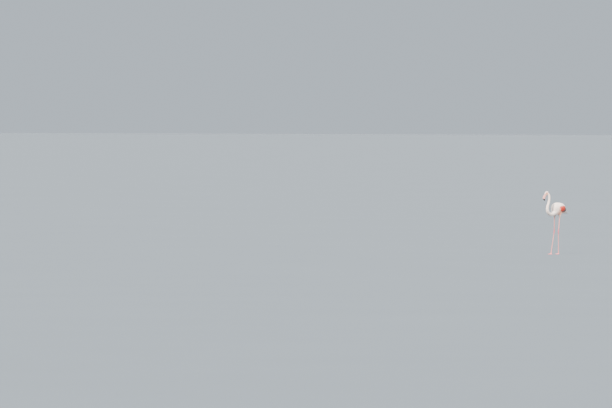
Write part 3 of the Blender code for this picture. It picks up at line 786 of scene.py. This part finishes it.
COAT_INPUTS = {
    "Vane": "NodeSocketObject", "Where": "NodeSocketString", "Spacing": "NodeSocketFloat",
    "Length": "NodeSocketFloat", "Width": "NodeSocketFloat", "Root Depth": "NodeSocketFloat",
    "Tip Lift": "NodeSocketFloat", "Unevenness": "NodeSocketFloat", "Toss": "NodeSocketFloat",
    "Seed": "NodeSocketInt", "Finish": "NodeSocketMaterial"}


def coat_tree():
    """Feathers strewn evenly over a form, each turned along the lie and laid onto the form's surface."""
    tree = bpy.data.node_groups.new("lay_small_feathers", "GeometryNodeTree")
    for name, kind in {"Form": "NodeSocketGeometry", **COAT_INPUTS}.items():
        tree.interface.new_socket(name, in_out="INPUT", socket_type=kind)
    tree.interface.new_socket("Coat", in_out="OUTPUT", socket_type="NodeSocketGeometry")
    given = add(tree, "NodeGroupInput").outputs
    where = add(tree, "GeometryNodeInputNamedAttribute", (given["Where"],), data_type="FLOAT")
    out, lie = (add(tree, "GeometryNodeInputNamedAttribute", (name,), data_type="FLOAT_VECTOR")
                for name in ("out", "lie"))
    size_here, along, height, shade, sunk = (
        add(tree, "GeometryNodeInputNamedAttribute", (name,), data_type="FLOAT")
        for name in ("size", "along", "height", "shade", "sunk"))
    spot = add(tree, "GeometryNodeInputPosition")

    strewn = add(tree, "GeometryNodeDistributePointsOnFaces",
                 {"Mesh": given["Form"], "Distance Min": given["Spacing"], "Density Max": 400000.0,
                  "Density Factor": where, "Seed": given["Seed"]}, distribute_method="POISSON")
    rooted = add(tree, "GeometryNodeStoreNamedAttribute",
                 {"Geometry": strewn, "Name": "root", "Value": spot}, data_type="FLOAT_VECTOR")
    chance = add(tree, "FunctionNodeRandomValue", {"Seed": given["Seed"]}, data_type="FLOAT")
    shaded = add(tree, "GeometryNodeStoreNamedAttribute",
                 {"Geometry": rooted, "Name": "shade", "Value": chance}, data_type="FLOAT")
    facing = add(tree, "FunctionNodeAxesToRotation", {"Primary Axis": out, "Secondary Axis": lie},
                 primary_axis="Z", secondary_axis="Y")
    back = add(tree, "ShaderNodeMath", (given["Toss"], -1.0), operation="MULTIPLY")
    yaw = add(tree, "FunctionNodeRandomValue", {"Min": back, "Max": given["Toss"], "Seed": 5},
              data_type="FLOAT")
    turn = add(tree, "FunctionNodeAxisAngleToRotation", {"Axis": (0.0, 0.0, 1.0), "Angle": yaw})
    turned = add(tree, "FunctionNodeRotateRotation", (facing, turn), rotation_space="LOCAL")
    vary = add(tree, "FunctionNodeRandomValue", {"Min": 0.82, "Max": 1.18, "Seed": 9}, data_type="FLOAT")
    size = add(tree, "ShaderNodeMath", (vary, size_here), operation="MULTIPLY")
    wide = add(tree, "ShaderNodeMath", (given["Width"], size), operation="MULTIPLY")
    long = add(tree, "ShaderNodeMath", (given["Length"], size), operation="MULTIPLY")
    scale = add(tree, "ShaderNodeCombineXYZ", (wide, long, 1.0))
    vane = add(tree, "GeometryNodeObjectInfo", {"Object": given["Vane"]}).outputs["Geometry"]
    laid = add(tree, "GeometryNodeInstanceOnPoints",
               {"Points": shaded, "Instance": vane, "Rotation": turned, "Scale": scale})
    real = add(tree, "GeometryNodeRealizeInstances", (laid,))

    # each point goes to the nearest place of the form, then off it by its own height
    here, off = (add(tree, "GeometryNodeSampleNearestSurface", {"Mesh": given["Form"], "Value": value},
                     data_type="FLOAT_VECTOR") for value in (spot, out))
    short = add(tree, "ShaderNodeMath", (along, -1.0), operation="ADD")
    deep = add(tree, "ShaderNodeMath", (short, given["Root Depth"]), operation="MULTIPLY")
    lift = add(tree, "ShaderNodeMath", (along, given["Tip Lift"], deep), operation="MULTIPLY_ADD")
    bob = add(tree, "ShaderNodeMath", (shade, given["Unevenness"], lift), operation="MULTIPLY_ADD")
    above = add(tree, "ShaderNodeMath", (bob, sunk), operation="SUBTRACT")
    rise = add(tree, "ShaderNodeMath", (above, height), operation="ADD")
    far = add(tree, "ShaderNodeVectorMath", (off, rise), operation="SCALE")
    goal = add(tree, "ShaderNodeVectorMath", (here, far), operation="ADD")
    moved = add(tree, "GeometryNodeSetPosition", {"Geometry": real, "Position": goal})
    painted = add(tree, "GeometryNodeSetMaterial", {"Geometry": moved, "Material": given["Finish"]})
    add(tree, "NodeGroupOutput", (painted,))
    return tree


def lay_small(name, form, tree, values):
    """A piece of small feathers on the form, as a plain mesh, from values for the tree's inputs in order."""
    made = placed(name, form.data)
    modifier = made.modifiers.new("coat", "NODES")
    modifier.node_group = tree
    identifiers = {socket.name: socket.identifier for socket in tree.interface.items_tree}
    for key, value in zip(COAT_INPUTS, values):
        modifier[identifiers[key]] = value
    return crisp_rims(finished(made))


def unwrap(points, kind):
    """A flat place for each root, on an unwrap of the body, neck, head or thigh it grows from."""
    left = points[:, 0] > PLACE[0]
    if kind == "neck":
        index, _ = on_neck(points)
        gap = points - NECK_POINTS[index]
        top = unit(np.cross((1.0, 0.0, 0.0), NECK_WAY[index]))
        aside, ahead, along = gap[:, 0], (gap * top).sum(axis=1), NECK_ROW[index] / 12.5
    elif kind == "head":
        forward, ahead, aside = in_head(points).T
        along = (forward + 0.06) / 0.11
    elif kind == "thigh":
        aside, ahead = (points[:, :2] - np.where(left[:, None], HIPS["left"], HIPS["right"])).T
        along = (points[:, 2] - 0.58) / 0.14
    else:
        aside, y, z = (points - PLACE).T
        top, bottom, _ = stations(TRUNK, y)
        ahead, along = z - (0.48 * top + 0.52 * bottom), (y + 0.17) / 0.54
    turn = np.arctan2(aside, ahead) / (2 * math.pi) + 0.5
    if kind == "thigh":
        # the two thighs side by side
        turn = 0.48 * turn + 0.5 * left
    return np.stack([turn, along], axis=1)


def mark_coat(made, kind, length, width, given=None):
    """Markings, the vane's own map in metres and the bake map, from each feather's root."""
    mesh = made.data
    root = column(mesh.attributes["root"].data, "vector")
    along, across, shade = (column(mesh.attributes[name].data, "value", 1)[:, 0]
                            for name in ("along", "across", "shade"))
    tints = markings(0.8 * root + 0.2 * points_of(mesh)) if given is None else given
    store(mesh, "marking", np.stack([*tints, shade], axis=1))
    corner = np.empty(len(mesh.loops), np.int32)
    mesh.loops.foreach_get("vertex_index", corner)
    vane = np.stack([across * width, along * length], axis=1)
    patch = np.clip(0.004 + 0.992 * unwrap(root, kind), 0.003, 0.997)
    patch = patch + np.stack([across, along - 0.5], axis=1) * 0.003
    for name, values in (("OFBake", patch), ("vane", vane)):
        layer = mesh.uv_layers.new(name=name)
        layer.data.foreach_set("uv", np.ascontiguousarray(values[corner], np.float32).ravel())
    return made


# piece, vane, where, spacing, length, width, root depth, tip lift, unevenness, toss, seed
COATS = (
    ("head_feathers", "short", "head", 0.0016, 0.0070, 0.0031, 0.0009, 0.0001, 0.0001, 0.16, 1),
    ("upper_neck_feathers", "short", "neck_upper", 0.0025, 0.0135, 0.0056, 0.0016, 0.0001, 0.0002, 0.10, 2),
    ("lower_neck_feathers", "short", "neck_lower", 0.0033, 0.0170, 0.0076, 0.0018, 0.0001, 0.0002, 0.10, 3),
    ("body_feathers", "wide", "body", 0.0060, 0.0360, 0.0155, 0.0045, 0.0003, 0.0004, 0.12, 4),
    ("thigh_feathers", "wide", "thigh", 0.0036, 0.0210, 0.0088, 0.0022, 0.0002, 0.0003, 0.14, 5))


def small_feathers(form):
    """The coats of small feathers over the head, neck, body and thighs."""
    finish = plumage_material("contour_feather", barb=0.0011, relief=0.2, shaft_share=0.0, sheen=0.25)
    vanes = {
        "short": vane_object("short_vane", ((0.30, 0.44), (0.70, 0.48), (0.91, 0.27)),
                             thick=0.0002, camber=0.00005),
        "wide": vane_object("wide_vane", ((0.25, 0.38), (0.62, 0.50), (0.86, 0.37), (0.96, 0.20)),
                            thick=0.0002, camber=0.00015)}
    tree = coat_tree()
    coats = []
    for name, vane, where, spacing, length, width, *rest in COATS:
        values = (vanes[vane], "on_" + where, spacing, length, width, *rest, finish)
        made = lay_small(name, form, tree, values)
        coats.append(mark_coat(made, where.split("_")[0], length, width))
    for made in vanes.values():
        bpy.data.objects.remove(made)
    return coats


# ---------------------------------------------------------------- long feathers, each laid on its own line
# how far along the vane, and its share of the full half width there
ROUND_TIP = ((0.0, 0.16), (0.10, 0.50), (0.26, 0.86), (0.45, 1.0), (0.64, 0.99), (0.80, 0.88), (0.91, 0.64),
             (0.975, 0.34), (1.0, 0.06))
LONG_TIP = ((0.0, 0.20), (0.12, 0.62), (0.28, 0.90), (0.45, 1.0), (0.62, 0.97), (0.77, 0.85), (0.89, 0.60),
            (0.965, 0.32), (1.0, 0.05))
VANE_THICK, VANE_DROOP, SPINE_POINTS = 0.0006, 0.0006, 10
# the long feathers lie on the form only where it is nearer than this
FORM_NEAR = 0.006
# coral, black and blush shares
WHITE, CREAM, PINK = (0, 0, 0.10), (0, 0, 0.20), (0, 0, 0.38)
BLACK, MAROON = (0, 1, 0), (1, 0.80, 0)
RED, SCARLET, CORAL = (1, 0.30, 0), (1, 0.05, 0.1), (0.92, 0, 0.3)
ROSE, SHELL = (0.70, 0, 0.4), (0.42, 0, 0.5)
# covert rows from the wing's lower edge up: first and last root (y, degrees), count, length, colours
COVERT_ROWS = (((-0.022, 121), (0.040, 117), 8, 0.044, (RED, RED)),
               ((-0.036, 115), (0.050, 109), 10, 0.046, (RED, RED)),
               ((-0.047, 108), (0.060, 101), 12, 0.048, (RED, SCARLET)),
               ((-0.056, 100), (0.070, 92), 13, 0.050, (SCARLET, SCARLET)),
               ((-0.063, 92), (0.075, 83), 14, 0.048, (SCARLET, SCARLET)),
               ((-0.066, 83), (0.076, 73), 14, 0.044, (SCARLET, CORAL)),
               ((-0.065, 75), (0.075, 64), 14, 0.040, (CORAL, ROSE)),
               ((-0.062, 67), (0.072, 56), 14, 0.038, (ROSE, SHELL)))
# plume rows from the shoulder up to the ridge of the back: degrees, last y
PLUME_ROWS = ((62, 0.030), (54, 0.085), (46, 0.115), (38, 0.135), (30, 0.145), (22, 0.155), (14, 0.160),
              (7, 0.165), (1, 0.170))
# flight feathers by layer: count, first and last root (y, degrees), first and last tip, half width, lifts
FLIGHT_LAYERS = (
    (15, (0.000, 126), (0.110, 120), (0.080, 124), (0.205, 116), 0.0082, -0.0016, 0.0004, ROUND_TIP),
    (11, (0.040, 118), (0.110, 108), (0.140, 118), (0.245, 105), 0.0082, -0.0018, 0.0002, ROUND_TIP),
    (16, (0.105, 112), (0.130, 60), (0.255, 103), (0.290, 78), 0.0086, -0.0020, 0.0002, LONG_TIP),
    (11, (0.090, 112), (0.115, 68), (0.195, 106), (0.232, 76), 0.0086, -0.0018, 0.0006, ROUND_TIP),
    (11, (0.045, 112), (0.070, 68), (0.150, 109), (0.184, 76), 0.0086, -0.0016, 0.0009, ROUND_TIP))
# rings of feathers round the rump: how many, root y, length, half width, side left bare from and to
RUMP_RINGS = ((32, 0.176, 0.078, 0.0088, (40, 134)), (30, 0.205, 0.084, 0.0088, (50, 122)),
              (30, 0.235, 0.088, 0.0086, (58, 112)), (30, 0.256, 0.094, 0.0082, (76, 112)))
# the tail's fan, upper and under side, and the short feathers over its root:
# count, root y, tip y, face, lifts
TAIL_LAYERS = ((14, 0.236, 0.350, 1, 0.0002, 0.0012), (13, 0.240, 0.346, -1, -0.0002, 0.0006),
               (9, 0.232, 0.312, 1, 0.0060, 0.0022))


def flank_point(y, degrees, sign):
    """A point of the trunk's outline: degrees from the ridge of the back, on the left for sign 1."""
    top, bottom, half = stations(TRUNK, y)
    waist = bottom + WAIST * (top - bottom)
    a = math.radians(degrees)
    height = top - waist if math.cos(a) >= 0 else waist - bottom
    aside, up = (math.copysign(abs(value) ** (2 / FULLNESS), value) for value in (math.sin(a), math.cos(a)))
    return PLACE + (sign * half * aside, y, waist + height * up)


def fan_point(y, across, face):
    """A point of the tail's flat fan, across from -1 to 1, on its upper (1) or under (-1) face."""
    z, half, thick = stations(TAIL, y)
    swell = face * thick * math.sqrt(1 - across ** 2)
    return PLACE + (half * across, y, z + swell - 0.10 * half * across ** 2)


def plumage_point(y, degrees, sign):
    """A point of the whole plumage's outline: the trunk, its folded wings and, below, the tail's fan."""
    top, bottom, _ = stations(TRUNK, y)
    upper, lower = stations(WING, y)
    across = np.clip((degrees - upper) / (lower - upper), 0, 1)
    full = np.clip(4 * (y - WING[0, 0]) / (WING[-1, 0] - WING[0, 0]) + 0.12, 0, 1)
    full = full * (1 - 0.75 * ease(y, 0.18, 0.34)) * (1 - ease(y, 0.335, 0.36))
    spot = flank_point(y, degrees, sign)
    middle = PLACE + (0, y, bottom + WAIST * (top - bottom))
    proud = WING_PROUD * math.sqrt(max(math.sin(math.pi * across), 0)) * full
    spot = spot + unit((spot - middle) * (1, 0, 1)) * proud
    # the folded wings close over the tail
    spot[2] += (middle[2] - spot[2]) * WINGS_CLOSE * ease(y, 0.285, 0.352)
    below = ease(y, 0.240, 0.290) * ease(degrees, 96, 108)
    return spot * (1 - below) + fan_point(y, sign * math.sin(math.radians(degrees)), -1) * below


def line_on(place, side, start, end):
    """A line over one side of a form from one pair of its coordinates to another, and the ways up from it."""
    ways = [between(np.array((start, end)), share) for share in np.linspace(0, 1, SPINE_POINTS)]
    spine = np.array([place(*way, side) for way in ways])
    beside = np.array([place(way[0], way[1] + 1e-3 * (1 + 2 * abs(way[1])), side) for way in ways])
    return spine, unit(np.cross(np.gradient(spine, axis=0), beside - spine))


def flank_line(solid, start, end, sign):
    """A line along the plumage from one (y, degrees) to another, laid on the form where it is even."""
    spine, ups = line_on(plumage_point, sign, start, end)
    ups = -sign * ups
    for i, spot in enumerate(spine):
        near, out, _, gap = solid.find_nearest(Vector(spot))
        share = (1 - ease(spot[1] - PLACE[1], 0.215, 0.250)) * (gap < FORM_NEAR)
        spine[i] = between((spot, np.array(near)), share)
        ups[i] = unit(between((ups[i], np.array(out)), share))
    return spine, ups


def drape(solid, root, heading, length):
    """A line that runs over the form from root, and straight on where the form ends."""
    spot, up = solid.find_nearest(Vector(root))[:2]
    way = Vector(heading).normalized()
    spine, ups = [], []
    for i in range(SPINE_POINTS):
        near, out, _, gap = solid.find_nearest(spot)
        if gap < FORM_NEAR or i < 2:
            spot = near
            up = (up * 0.55 + out * 0.45).normalized()
        way = (way - up * way.dot(up)).normalized()
        spine.append(np.array(spot))
        ups.append(np.array(up))
        spot = spot + way * (length / (SPINE_POINTS - 1))
    return np.array(spine), np.array(ups)


def blade(feathers, spine, ups, half, profile, lifts, colours):
    """Adds one long vane to the list: a thin closed lens with a ridge along its shaft."""
    v, wide = np.array(profile).T
    steps = np.linspace(0, 1, len(spine))
    spine, ups = (np.stack([np.interp(v, steps, part) for part in line.T], axis=1) for line in (spine, ups))
    way = unit(np.gradient(spine, axis=0))
    aside = unit(np.cross(way, unit(ups)))
    ups = np.cross(aside, way)
    mid = spine + ups * between(lifts, v)[:, None]
    side = aside * (half * wide)[:, None]
    drop = ups * (VANE_DROOP * wide ** 2)[:, None]
    thin = ups * (VANE_THICK / 2 * np.maximum(wide, 0.3))[:, None]
    rings = np.stack([mid - side - drop, mid + thin, mid + side - drop, mid - thin * 0.8], axis=1)
    size = 4 * len(v)
    along = np.repeat(v, 4)
    feathers.append({
        "points": rings.reshape(-1, 3),
        "along": along,
        "across": np.tile((-0.5, 0.0, 0.5, 0.0), len(v)),
        "length": np.full(size, np.linalg.norm(np.diff(spine, axis=0), axis=1).sum()),
        "width": np.repeat(2 * half * wide, 4),
        "shade": np.full(size, rng.uniform(0, 1)),
        "root": np.tile(spine[0], (size, 1)),
        "colour": between(np.array(colours, float)[:, None], ease(along, 0.25, 1.0)[:, None])})


def feather_row(feathers, solid, sign, line, count, slope, length, half, lifts, settle, colours, profile):
    """A row of long feathers along a line on the flank, from (y, degrees) to (y, degrees). The first ones
    settle that much lower, under the small feathers in front of them."""
    for f in np.arange(count) / (count - 1):
        y, degrees = between(np.array(line), f) + (rng.uniform(-0.0025, 0.0025), rng.uniform(-1.5, 1.5))
        fall = between(slope, f) + rng.uniform(-0.03, 0.03)
        heading = (sign * rng.uniform(-0.03, 0.03), 1.0, fall)
        long = between(length, f) * rng.uniform(0.94, 1.06)
        wide = between(half, f) * rng.uniform(0.94, 1.06)
        spine, ups = drape(solid, flank_point(y, degrees, sign), heading, long)
        level = rng.uniform(-0.0002, 0.0002) - settle * (1 - ease(f, 0.15, 0.26))
        blade(feathers, spine, ups, wide, profile, (lifts[0] + level, lifts[1] + level), colours)


def feather_piece(name, feathers, finish):
    """One piece of all the long feathers in the list."""
    kept = {key: np.concatenate([feather[key] for feather in feathers]) for key in feathers[0]}
    faces, start = [], 0
    for feather in feathers:
        size = len(feather["points"])
        faces += [(a, d, c, b) for a, b, c, d in ring_faces(size // 4, 4, start)]
        faces.append(tuple(range(start, start + 4)))
        start += size
        faces.append(tuple(range(start - 1, start - 5, -1)))
    made = mesh_object(name, kept["points"], faces)
    for key in ("along", "across", "shade", "root"):
        store(made.data, key, kept[key])
    made.data.materials.append(finish)
    return crisp_rims(mark_coat(made, "body", kept["length"], kept["width"], kept["colour"].T))


def wing_feathers(solid, sign):
    """One side's flight feathers, coverts and plumes from the shoulder."""
    flight, coverts, plumes = [], [], []
    for count, first, last, first_tip, last_tip, half, low, high, profile in FLIGHT_LAYERS:
        for f in np.linspace(0, 1, count):
            root = between(np.array((first, last)), f) + (0, rng.uniform(-1, 1))
            tip = between(np.array((first_tip, last_tip)), f) + (rng.uniform(-0.004, 0.004), 0)
            spine, ups = flank_line(solid, root, tip, sign)
            blade(flight, spine, ups, half, profile, (low, high + rng.uniform(0, 0.0003)), (MAROON, BLACK))
    for k, (first, last, count, long, colours) in enumerate(COVERT_ROWS):
        high = 0.0006 if colours[1] == SHELL else 0.0014 + 0.0001 * k
        feather_row(coverts, solid, sign, (first, last), count, slope=(-0.08, -0.14),
                    length=(long * 0.92, long * 1.10), half=(0.0084, 0.0088), lifts=(-0.0014, high),
                    settle=0.0020, colours=colours, profile=ROUND_TIP)
    for k, (degrees, last) in enumerate(PLUME_ROWS):
        line = ((-0.092 + 0.004 * (k % 2), degrees + 5), (last, degrees - 2))
        feather_row(plumes, solid, sign, line, 16, slope=(0.25, -0.14), length=(0.046, 0.108),
                    half=(0.0092, 0.0102), lifts=(-0.0018, 0.0024 - 0.00012 * k), settle=0.0008,
                    colours=(WHITE, CREAM), profile=ROUND_TIP if k % 2 else LONG_TIP)
    # the longest plumes hang from the back over the flight feathers
    for k, f in enumerate(np.linspace(0, 1, 13)):
        tip = 0.226 + 0.036 * f - 0.016 * (k % 2) + rng.uniform(-0.006, 0.006)
        spine, ups = flank_line(solid, (0.088 + 0.055 * f, 63 - 38 * f), (tip, 66 - 41 * f), sign)
        blade(plumes, spine, ups, half=0.0094, profile=LONG_TIP,
              lifts=(-0.0010, 0.0030 - 0.0004 * (k % 2)), colours=(CREAM, PINK))
    return flight, coverts, plumes


def tail_feathers(solid):
    """Rings of feathers round the rump, then the tail's fan."""
    tail = []
    for ring, (count, y, long, half, bare) in enumerate(RUMP_RINGS):
        for i in range(count):
            turn = 360.0 * (i + 0.5 * (ring % 2)) / count
            degrees, sign = min(turn, 360 - turn), 1 if turn < 180 else -1
            if bare[0] < degrees < bare[1]:
                continue
            root = y + rng.uniform(-0.006, 0.006)
            reach = root + long * rng.uniform(0.84, 0.98)
            spine, ups = flank_line(solid, (root, degrees), (reach, degrees + rng.uniform(-2, 2)), sign)
            tint = markings(spine[[0, -1]])[2]
            blade(tail, spine, ups, half, profile=LONG_TIP if ring > 2 else ROUND_TIP,
                  lifts=(-0.0012, 0.0020 - 0.0003 * ring), colours=((0, 0, tint[0]), (0, 0.02, tint[1])))
    for count, root, tip, face, low, high in TAIL_LAYERS:
        for share in np.linspace(-0.92, 0.92, count):
            end = tip - 0.012 * share ** 2 - rng.uniform(0.0, 0.007)
            spine, ups = line_on(fan_point, face, (root, 0.85 * share), (end, share))
            blade(tail, spine, ups * np.sign(ups[:, 2:3]) * face, half=0.0078, profile=ROUND_TIP,
                  lifts=(low, high), colours=(WHITE, (0, 0.04, 0.28)))
    return tail


# ---------------------------------------------------------------- bill, eyes
BILL_RINGS, BILL_ARC, COMB_RINGS = 70, 44, 300


def bill_section(row):
    """Culmen, the way down to the keel, the depth, half width and gape's share at a station of the bill."""
    culmen, keel = head_point(*row[:2]), head_point(*row[2:4])
    return culmen, unit(keel - culmen), np.linalg.norm(keel - culmen), row[4], row[5]


def horn_piece(name, points, faces, share_along, finish):
    """A piece of the bill that knows where its horn is black."""
    made = faced_outward(mesh_object(name, points, faces))
    store(made.data, "tip", ease(share_along, 0.44, 0.68))
    made.data.materials.append(finish)
    return made


def lid_relief(lift, s):
    """How far in the lid's side lies: the nostril's slit in its groove, under a low ridge."""
    slit = math.exp(-((lift - 34) / 4.5) ** 2) * ease(s, 0.10, 0.14) * (1 - ease(s, 0.24, 0.28))
    groove = math.exp(-((lift - 36) / 9) ** 2) * ease(s, 0.02, 0.10) * (1 - ease(s, 0.45, 0.62))
    ridge = math.exp(-((lift - 66) / 8) ** 2) * (1 - ease(s, 0.5, 0.8))
    return 0.0017 * slit + 0.0007 * groove - 0.0004 * ridge


def trough_relief(lift, s):
    """How far in the trough's side lies: low ribs under a proud edge."""
    rib = 0.5 + 0.5 * math.cos(math.radians(lift) * 16)
    edge = math.exp(-((lift - 5) / 5) ** 2)
    return 0.00028 * rib * ease(lift, 8, 20) * (1 - ease(s, 0.7, 0.95)) - 0.0005 * edge


def bill_half(name, upper, finish):
    """The lid or the trough of the bill, with its grooves or ribs and a sharp edge."""
    points, share_along = [], []
    for i, row in enumerate(curve(BILL, BILL_RINGS)):
        s = i / (BILL_RINGS - 1)
        culmen, down, depth, half, share = bill_section(row)
        gap = 0.00018 * (1 - 0.9 * ease(s, 0.80, 1.0))
        gape = culmen + down * (share * depth + (-gap if upper else gap))
        reach = -down * (share * depth - gap) if upper else down * ((1 - share) * depth - gap)
        roundness = 0.80 if upper else 0.90
        for k in range(BILL_ARC):
            a = math.pi * k / (BILL_ARC - 1)
            swell = 1.0 if upper else 1.0 + 0.10 * math.sin(2 * a) ** 2
            c, h = math.cos(a), math.sin(a)
            out = HEAD_AXES[2] * half * swell * math.copysign(abs(c) ** roundness, c)
            place = gape + out + reach * h ** roundness
            lift = math.degrees(min(a, math.pi - a))
            inward = lid_relief(lift, s) if upper else trough_relief(lift, s)
            points.append(place + unit(gape + reach * 0.4 - place) * inward)
            share_along.append(s + 0.02 * math.sin(3 * a))
        # two points close the half across its gape
        for x in (-0.80, 0.80):
            points.append(gape + HEAD_AXES[2] * half * x + reach * 0.05)
            share_along.append(s)
    around = BILL_ARC + 2
    ends = [tuple(range(around))[::-1], tuple(range(len(points) - around, len(points)))]
    return horn_piece(name, points, ring_faces(BILL_RINGS, around) + ends, share_along, finish)


def comb(name, finish):
    """The filter comb between the halves of the bill: thin upright plates in a row along each side."""
    rows = curve(BILL, COMB_RINGS)
    points, share_along, faces = [], [], []
    for i in range(24, 236, 3):
        culmen, down, depth, half, share = bill_section(rows[i])
        way = unit(head_point(*rows[i + 1][:2]) - culmen)
        gape = culmen + down * share * depth
        for sign in (1, -1):
            centre = gape + HEAD_AXES[2] * sign * half * 0.93
            start = len(points)
            share_along += [i / (COMB_RINGS - 1)] * 8
            points += [centre + way * 0.00022 * x + HEAD_AXES[2] * 0.0006 * y + down * 0.0007 * z
                       for x in (-1, 1) for y in (-1, 1) for z in (-1, 1)]
            faces += [tuple(start + j for j in f) for f in
                      ((0, 1, 3, 2), (4, 6, 7, 5), (0, 4, 5, 1), (2, 3, 7, 6), (0, 2, 6, 4), (1, 5, 7, 3))]
    made = horn_piece(name, points, faces, share_along, finish)
    made.data.shade_flat()
    return made


def eyeball(name, sign, finish):
    """The eye with a slight swell of the cornea, its iris drawn by the angle from its gaze."""
    centre, gaze, _, _ = eye_axes(sign)
    rings, around = 30, 40
    points, angles, spokes = [centre + gaze * EYE_RADIUS * 1.05], [0.0], [0.5]
    rays = np.tile(np.random.default_rng(4).uniform(0, 1, around), 3)
    rays = np.convolve(rays, (0.25, 0.5, 0.25), "same")[around:2 * around]
    for i in range(1, rings):
        # the rings lie closer together at the pupil
        t = math.pi * (i / rings) ** 1.25
        radius = EYE_RADIUS * (1 + 0.05 * math.exp(-(t / 0.55) ** 2))
        points += [eye_point(sign, t, 2 * math.pi * k / around, radius) for k in range(around)]
        angles += [t / (math.pi / 2)] * around
        spokes += list(rays)
    points.append(centre - gaze * EYE_RADIUS)
    last = len(points) - 1
    faces = [(a, d, c, b) for a, b, c, d in ring_faces(rings - 1, around, 1)]
    for k in range(around):
        j = (k + 1) % around
        faces.append((0, 1 + k, 1 + j))
        faces.append((last, last - around + j, last - around + k))
    made = faced_outward(mesh_object(name, points, faces))
    store(made.data, "spread", angles + [2.0])
    store(made.data, "spokes", spokes + [0.5])
    made.data.materials.append(finish)
    return made


# ---------------------------------------------------------------- stage, light, camera
# name, azimuth from the bird's front round by its left, elevation, strength, softness in degrees, colour
LIGHTS = (("key_light", 2.0, 41.0, 11.5, 9.0, "#FFF3E7"),
          ("left_light", 95.0, 28.0, 4.2, 50.0, "#FFF6EC"),
          ("right_light", -95.0, 30.0, 3.2, 50.0, "#FFFAF6"),
          ("rear_light", 185.0, 35.0, 3.6, 40.0, "#FBFAFF"))
FLOOR_HALF = 260.0
# the camera's azimuth and elevation, its distance from the bird, and the width of the view there
CAMERA_AT, CAMERA_FAR, VIEW_WIDTH = (25.0, 1.1), 115.0, 10.098


def toward(azimuth, elevation):
    a, e = math.radians(azimuth), math.radians(elevation)
    return Vector((math.sin(a) * math.cos(e), -math.cos(a) * math.cos(e), math.sin(e)))


def look_from(made, back):
    """Turns a light or camera to look away from back."""
    made.rotation_mode = "QUATERNION"
    made.rotation_quaternion = back.to_track_quat("Z", "Y")


def set_stage():
    corners = [(x * FLOOR_HALF, y * FLOOR_HALF, 0) for x, y in ((-1, -1), (1, -1), (1, 1), (-1, 1))]
    floor = mesh_object("studio_floor", corners, [(0, 1, 2, 3)])
    floor.data.materials.append(floor_material())
    world = bpy.data.worlds.new("studio_air")
    world.use_nodes = True
    bpy.context.scene.world = world
    feed(world.node_tree.nodes["Background"], {"Color": "#BDC8D2", "Strength": 1.12})
    for name, azimuth, elevation, strength, soft, colour in LIGHTS:
        light = bpy.data.lights.new(name, "SUN")
        light.energy, light.angle, light.color = strength, math.radians(soft), linear(colour)[:3]
        made = placed(name, light)
        # a sun lights alike from any distance
        made.location = toward(azimuth, elevation) * 5
        look_from(made, toward(azimuth, elevation))


def set_camera():
    """A long lens from afar at the bird's left front. The bird stands far off to the right of the frame."""
    data = bpy.data.cameras.new("camera")
    data.sensor_width = 36.0
    data.lens = data.sensor_width * CAMERA_FAR / VIEW_WIDTH
    data.clip_end = 1500.0
    camera = placed("camera", data)
    camera.location = Vector((0.0, 0.0, 0.55)) + toward(*CAMERA_AT) * CAMERA_FAR
    # where the middle of the frame is, seen from the bird
    aim = toward(CAMERA_AT[0] + 90.0, 0.0) * -4.129 + Vector((0.0, 0.0, 0.825))
    look_from(camera, camera.location - aim)
    bpy.context.scene.camera = camera


# ---------------------------------------------------------------- the bird
set_camera()
set_stage()

form = make_form()
solid = surface_of(form)
skin = make_skin()
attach(skin, "root")
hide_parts(*BODY_NODES, *LEG_NODES)

coats = small_feathers(form)
covert_finish = plumage_material("covert_feather", barb=0.0013, relief=0.3, shaft_share=0.10, sheen=0.03)
plume_finish = plumage_material("plume_feather", barb=0.0014, relief=0.25, shaft_share=0.15, sheen=0.25)
flight_finish = plumage_material("flight_feather", barb=0.0016, relief=0.45, shaft_share=0.10, sheen=0.05)
for side, sign in SIDES:
    flight, coverts, plumes = wing_feathers(solid, sign)
    coats.append(feather_piece("flight_feathers_" + side, flight, flight_finish))
    coats.append(feather_piece("wing_coverts_" + side, coverts, covert_finish))
    coats.append(feather_piece("shoulder_plumes_" + side, plumes, plume_finish))
coats.append(feather_piece("tail_feathers", tail_feathers(solid), plume_finish))
bpy.data.objects.remove(form)
for made in coats:
    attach(made, "root")

bill = bill_material()
for made, node_name in ((bill_half("bill_lid", True, bill), "bill_upper"),
                        (bill_half("bill_trough", False, bill), "bill_lower"),
                        (comb("bill_comb", bill), None)):
    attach(made, "root")
    if node_name:
        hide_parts(node_name)
eye = eye_material()
for side, sign in SIDES:
    made = eyeball("eyeball_" + side, sign, eye)
    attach(made, "root")
    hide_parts("eye_" + side)
claw = claw_material()
for node_name, made in NODES.items():
    if node_name.startswith("claw_"):
        made.data.materials.clear()
        made.data.materials.append(claw)
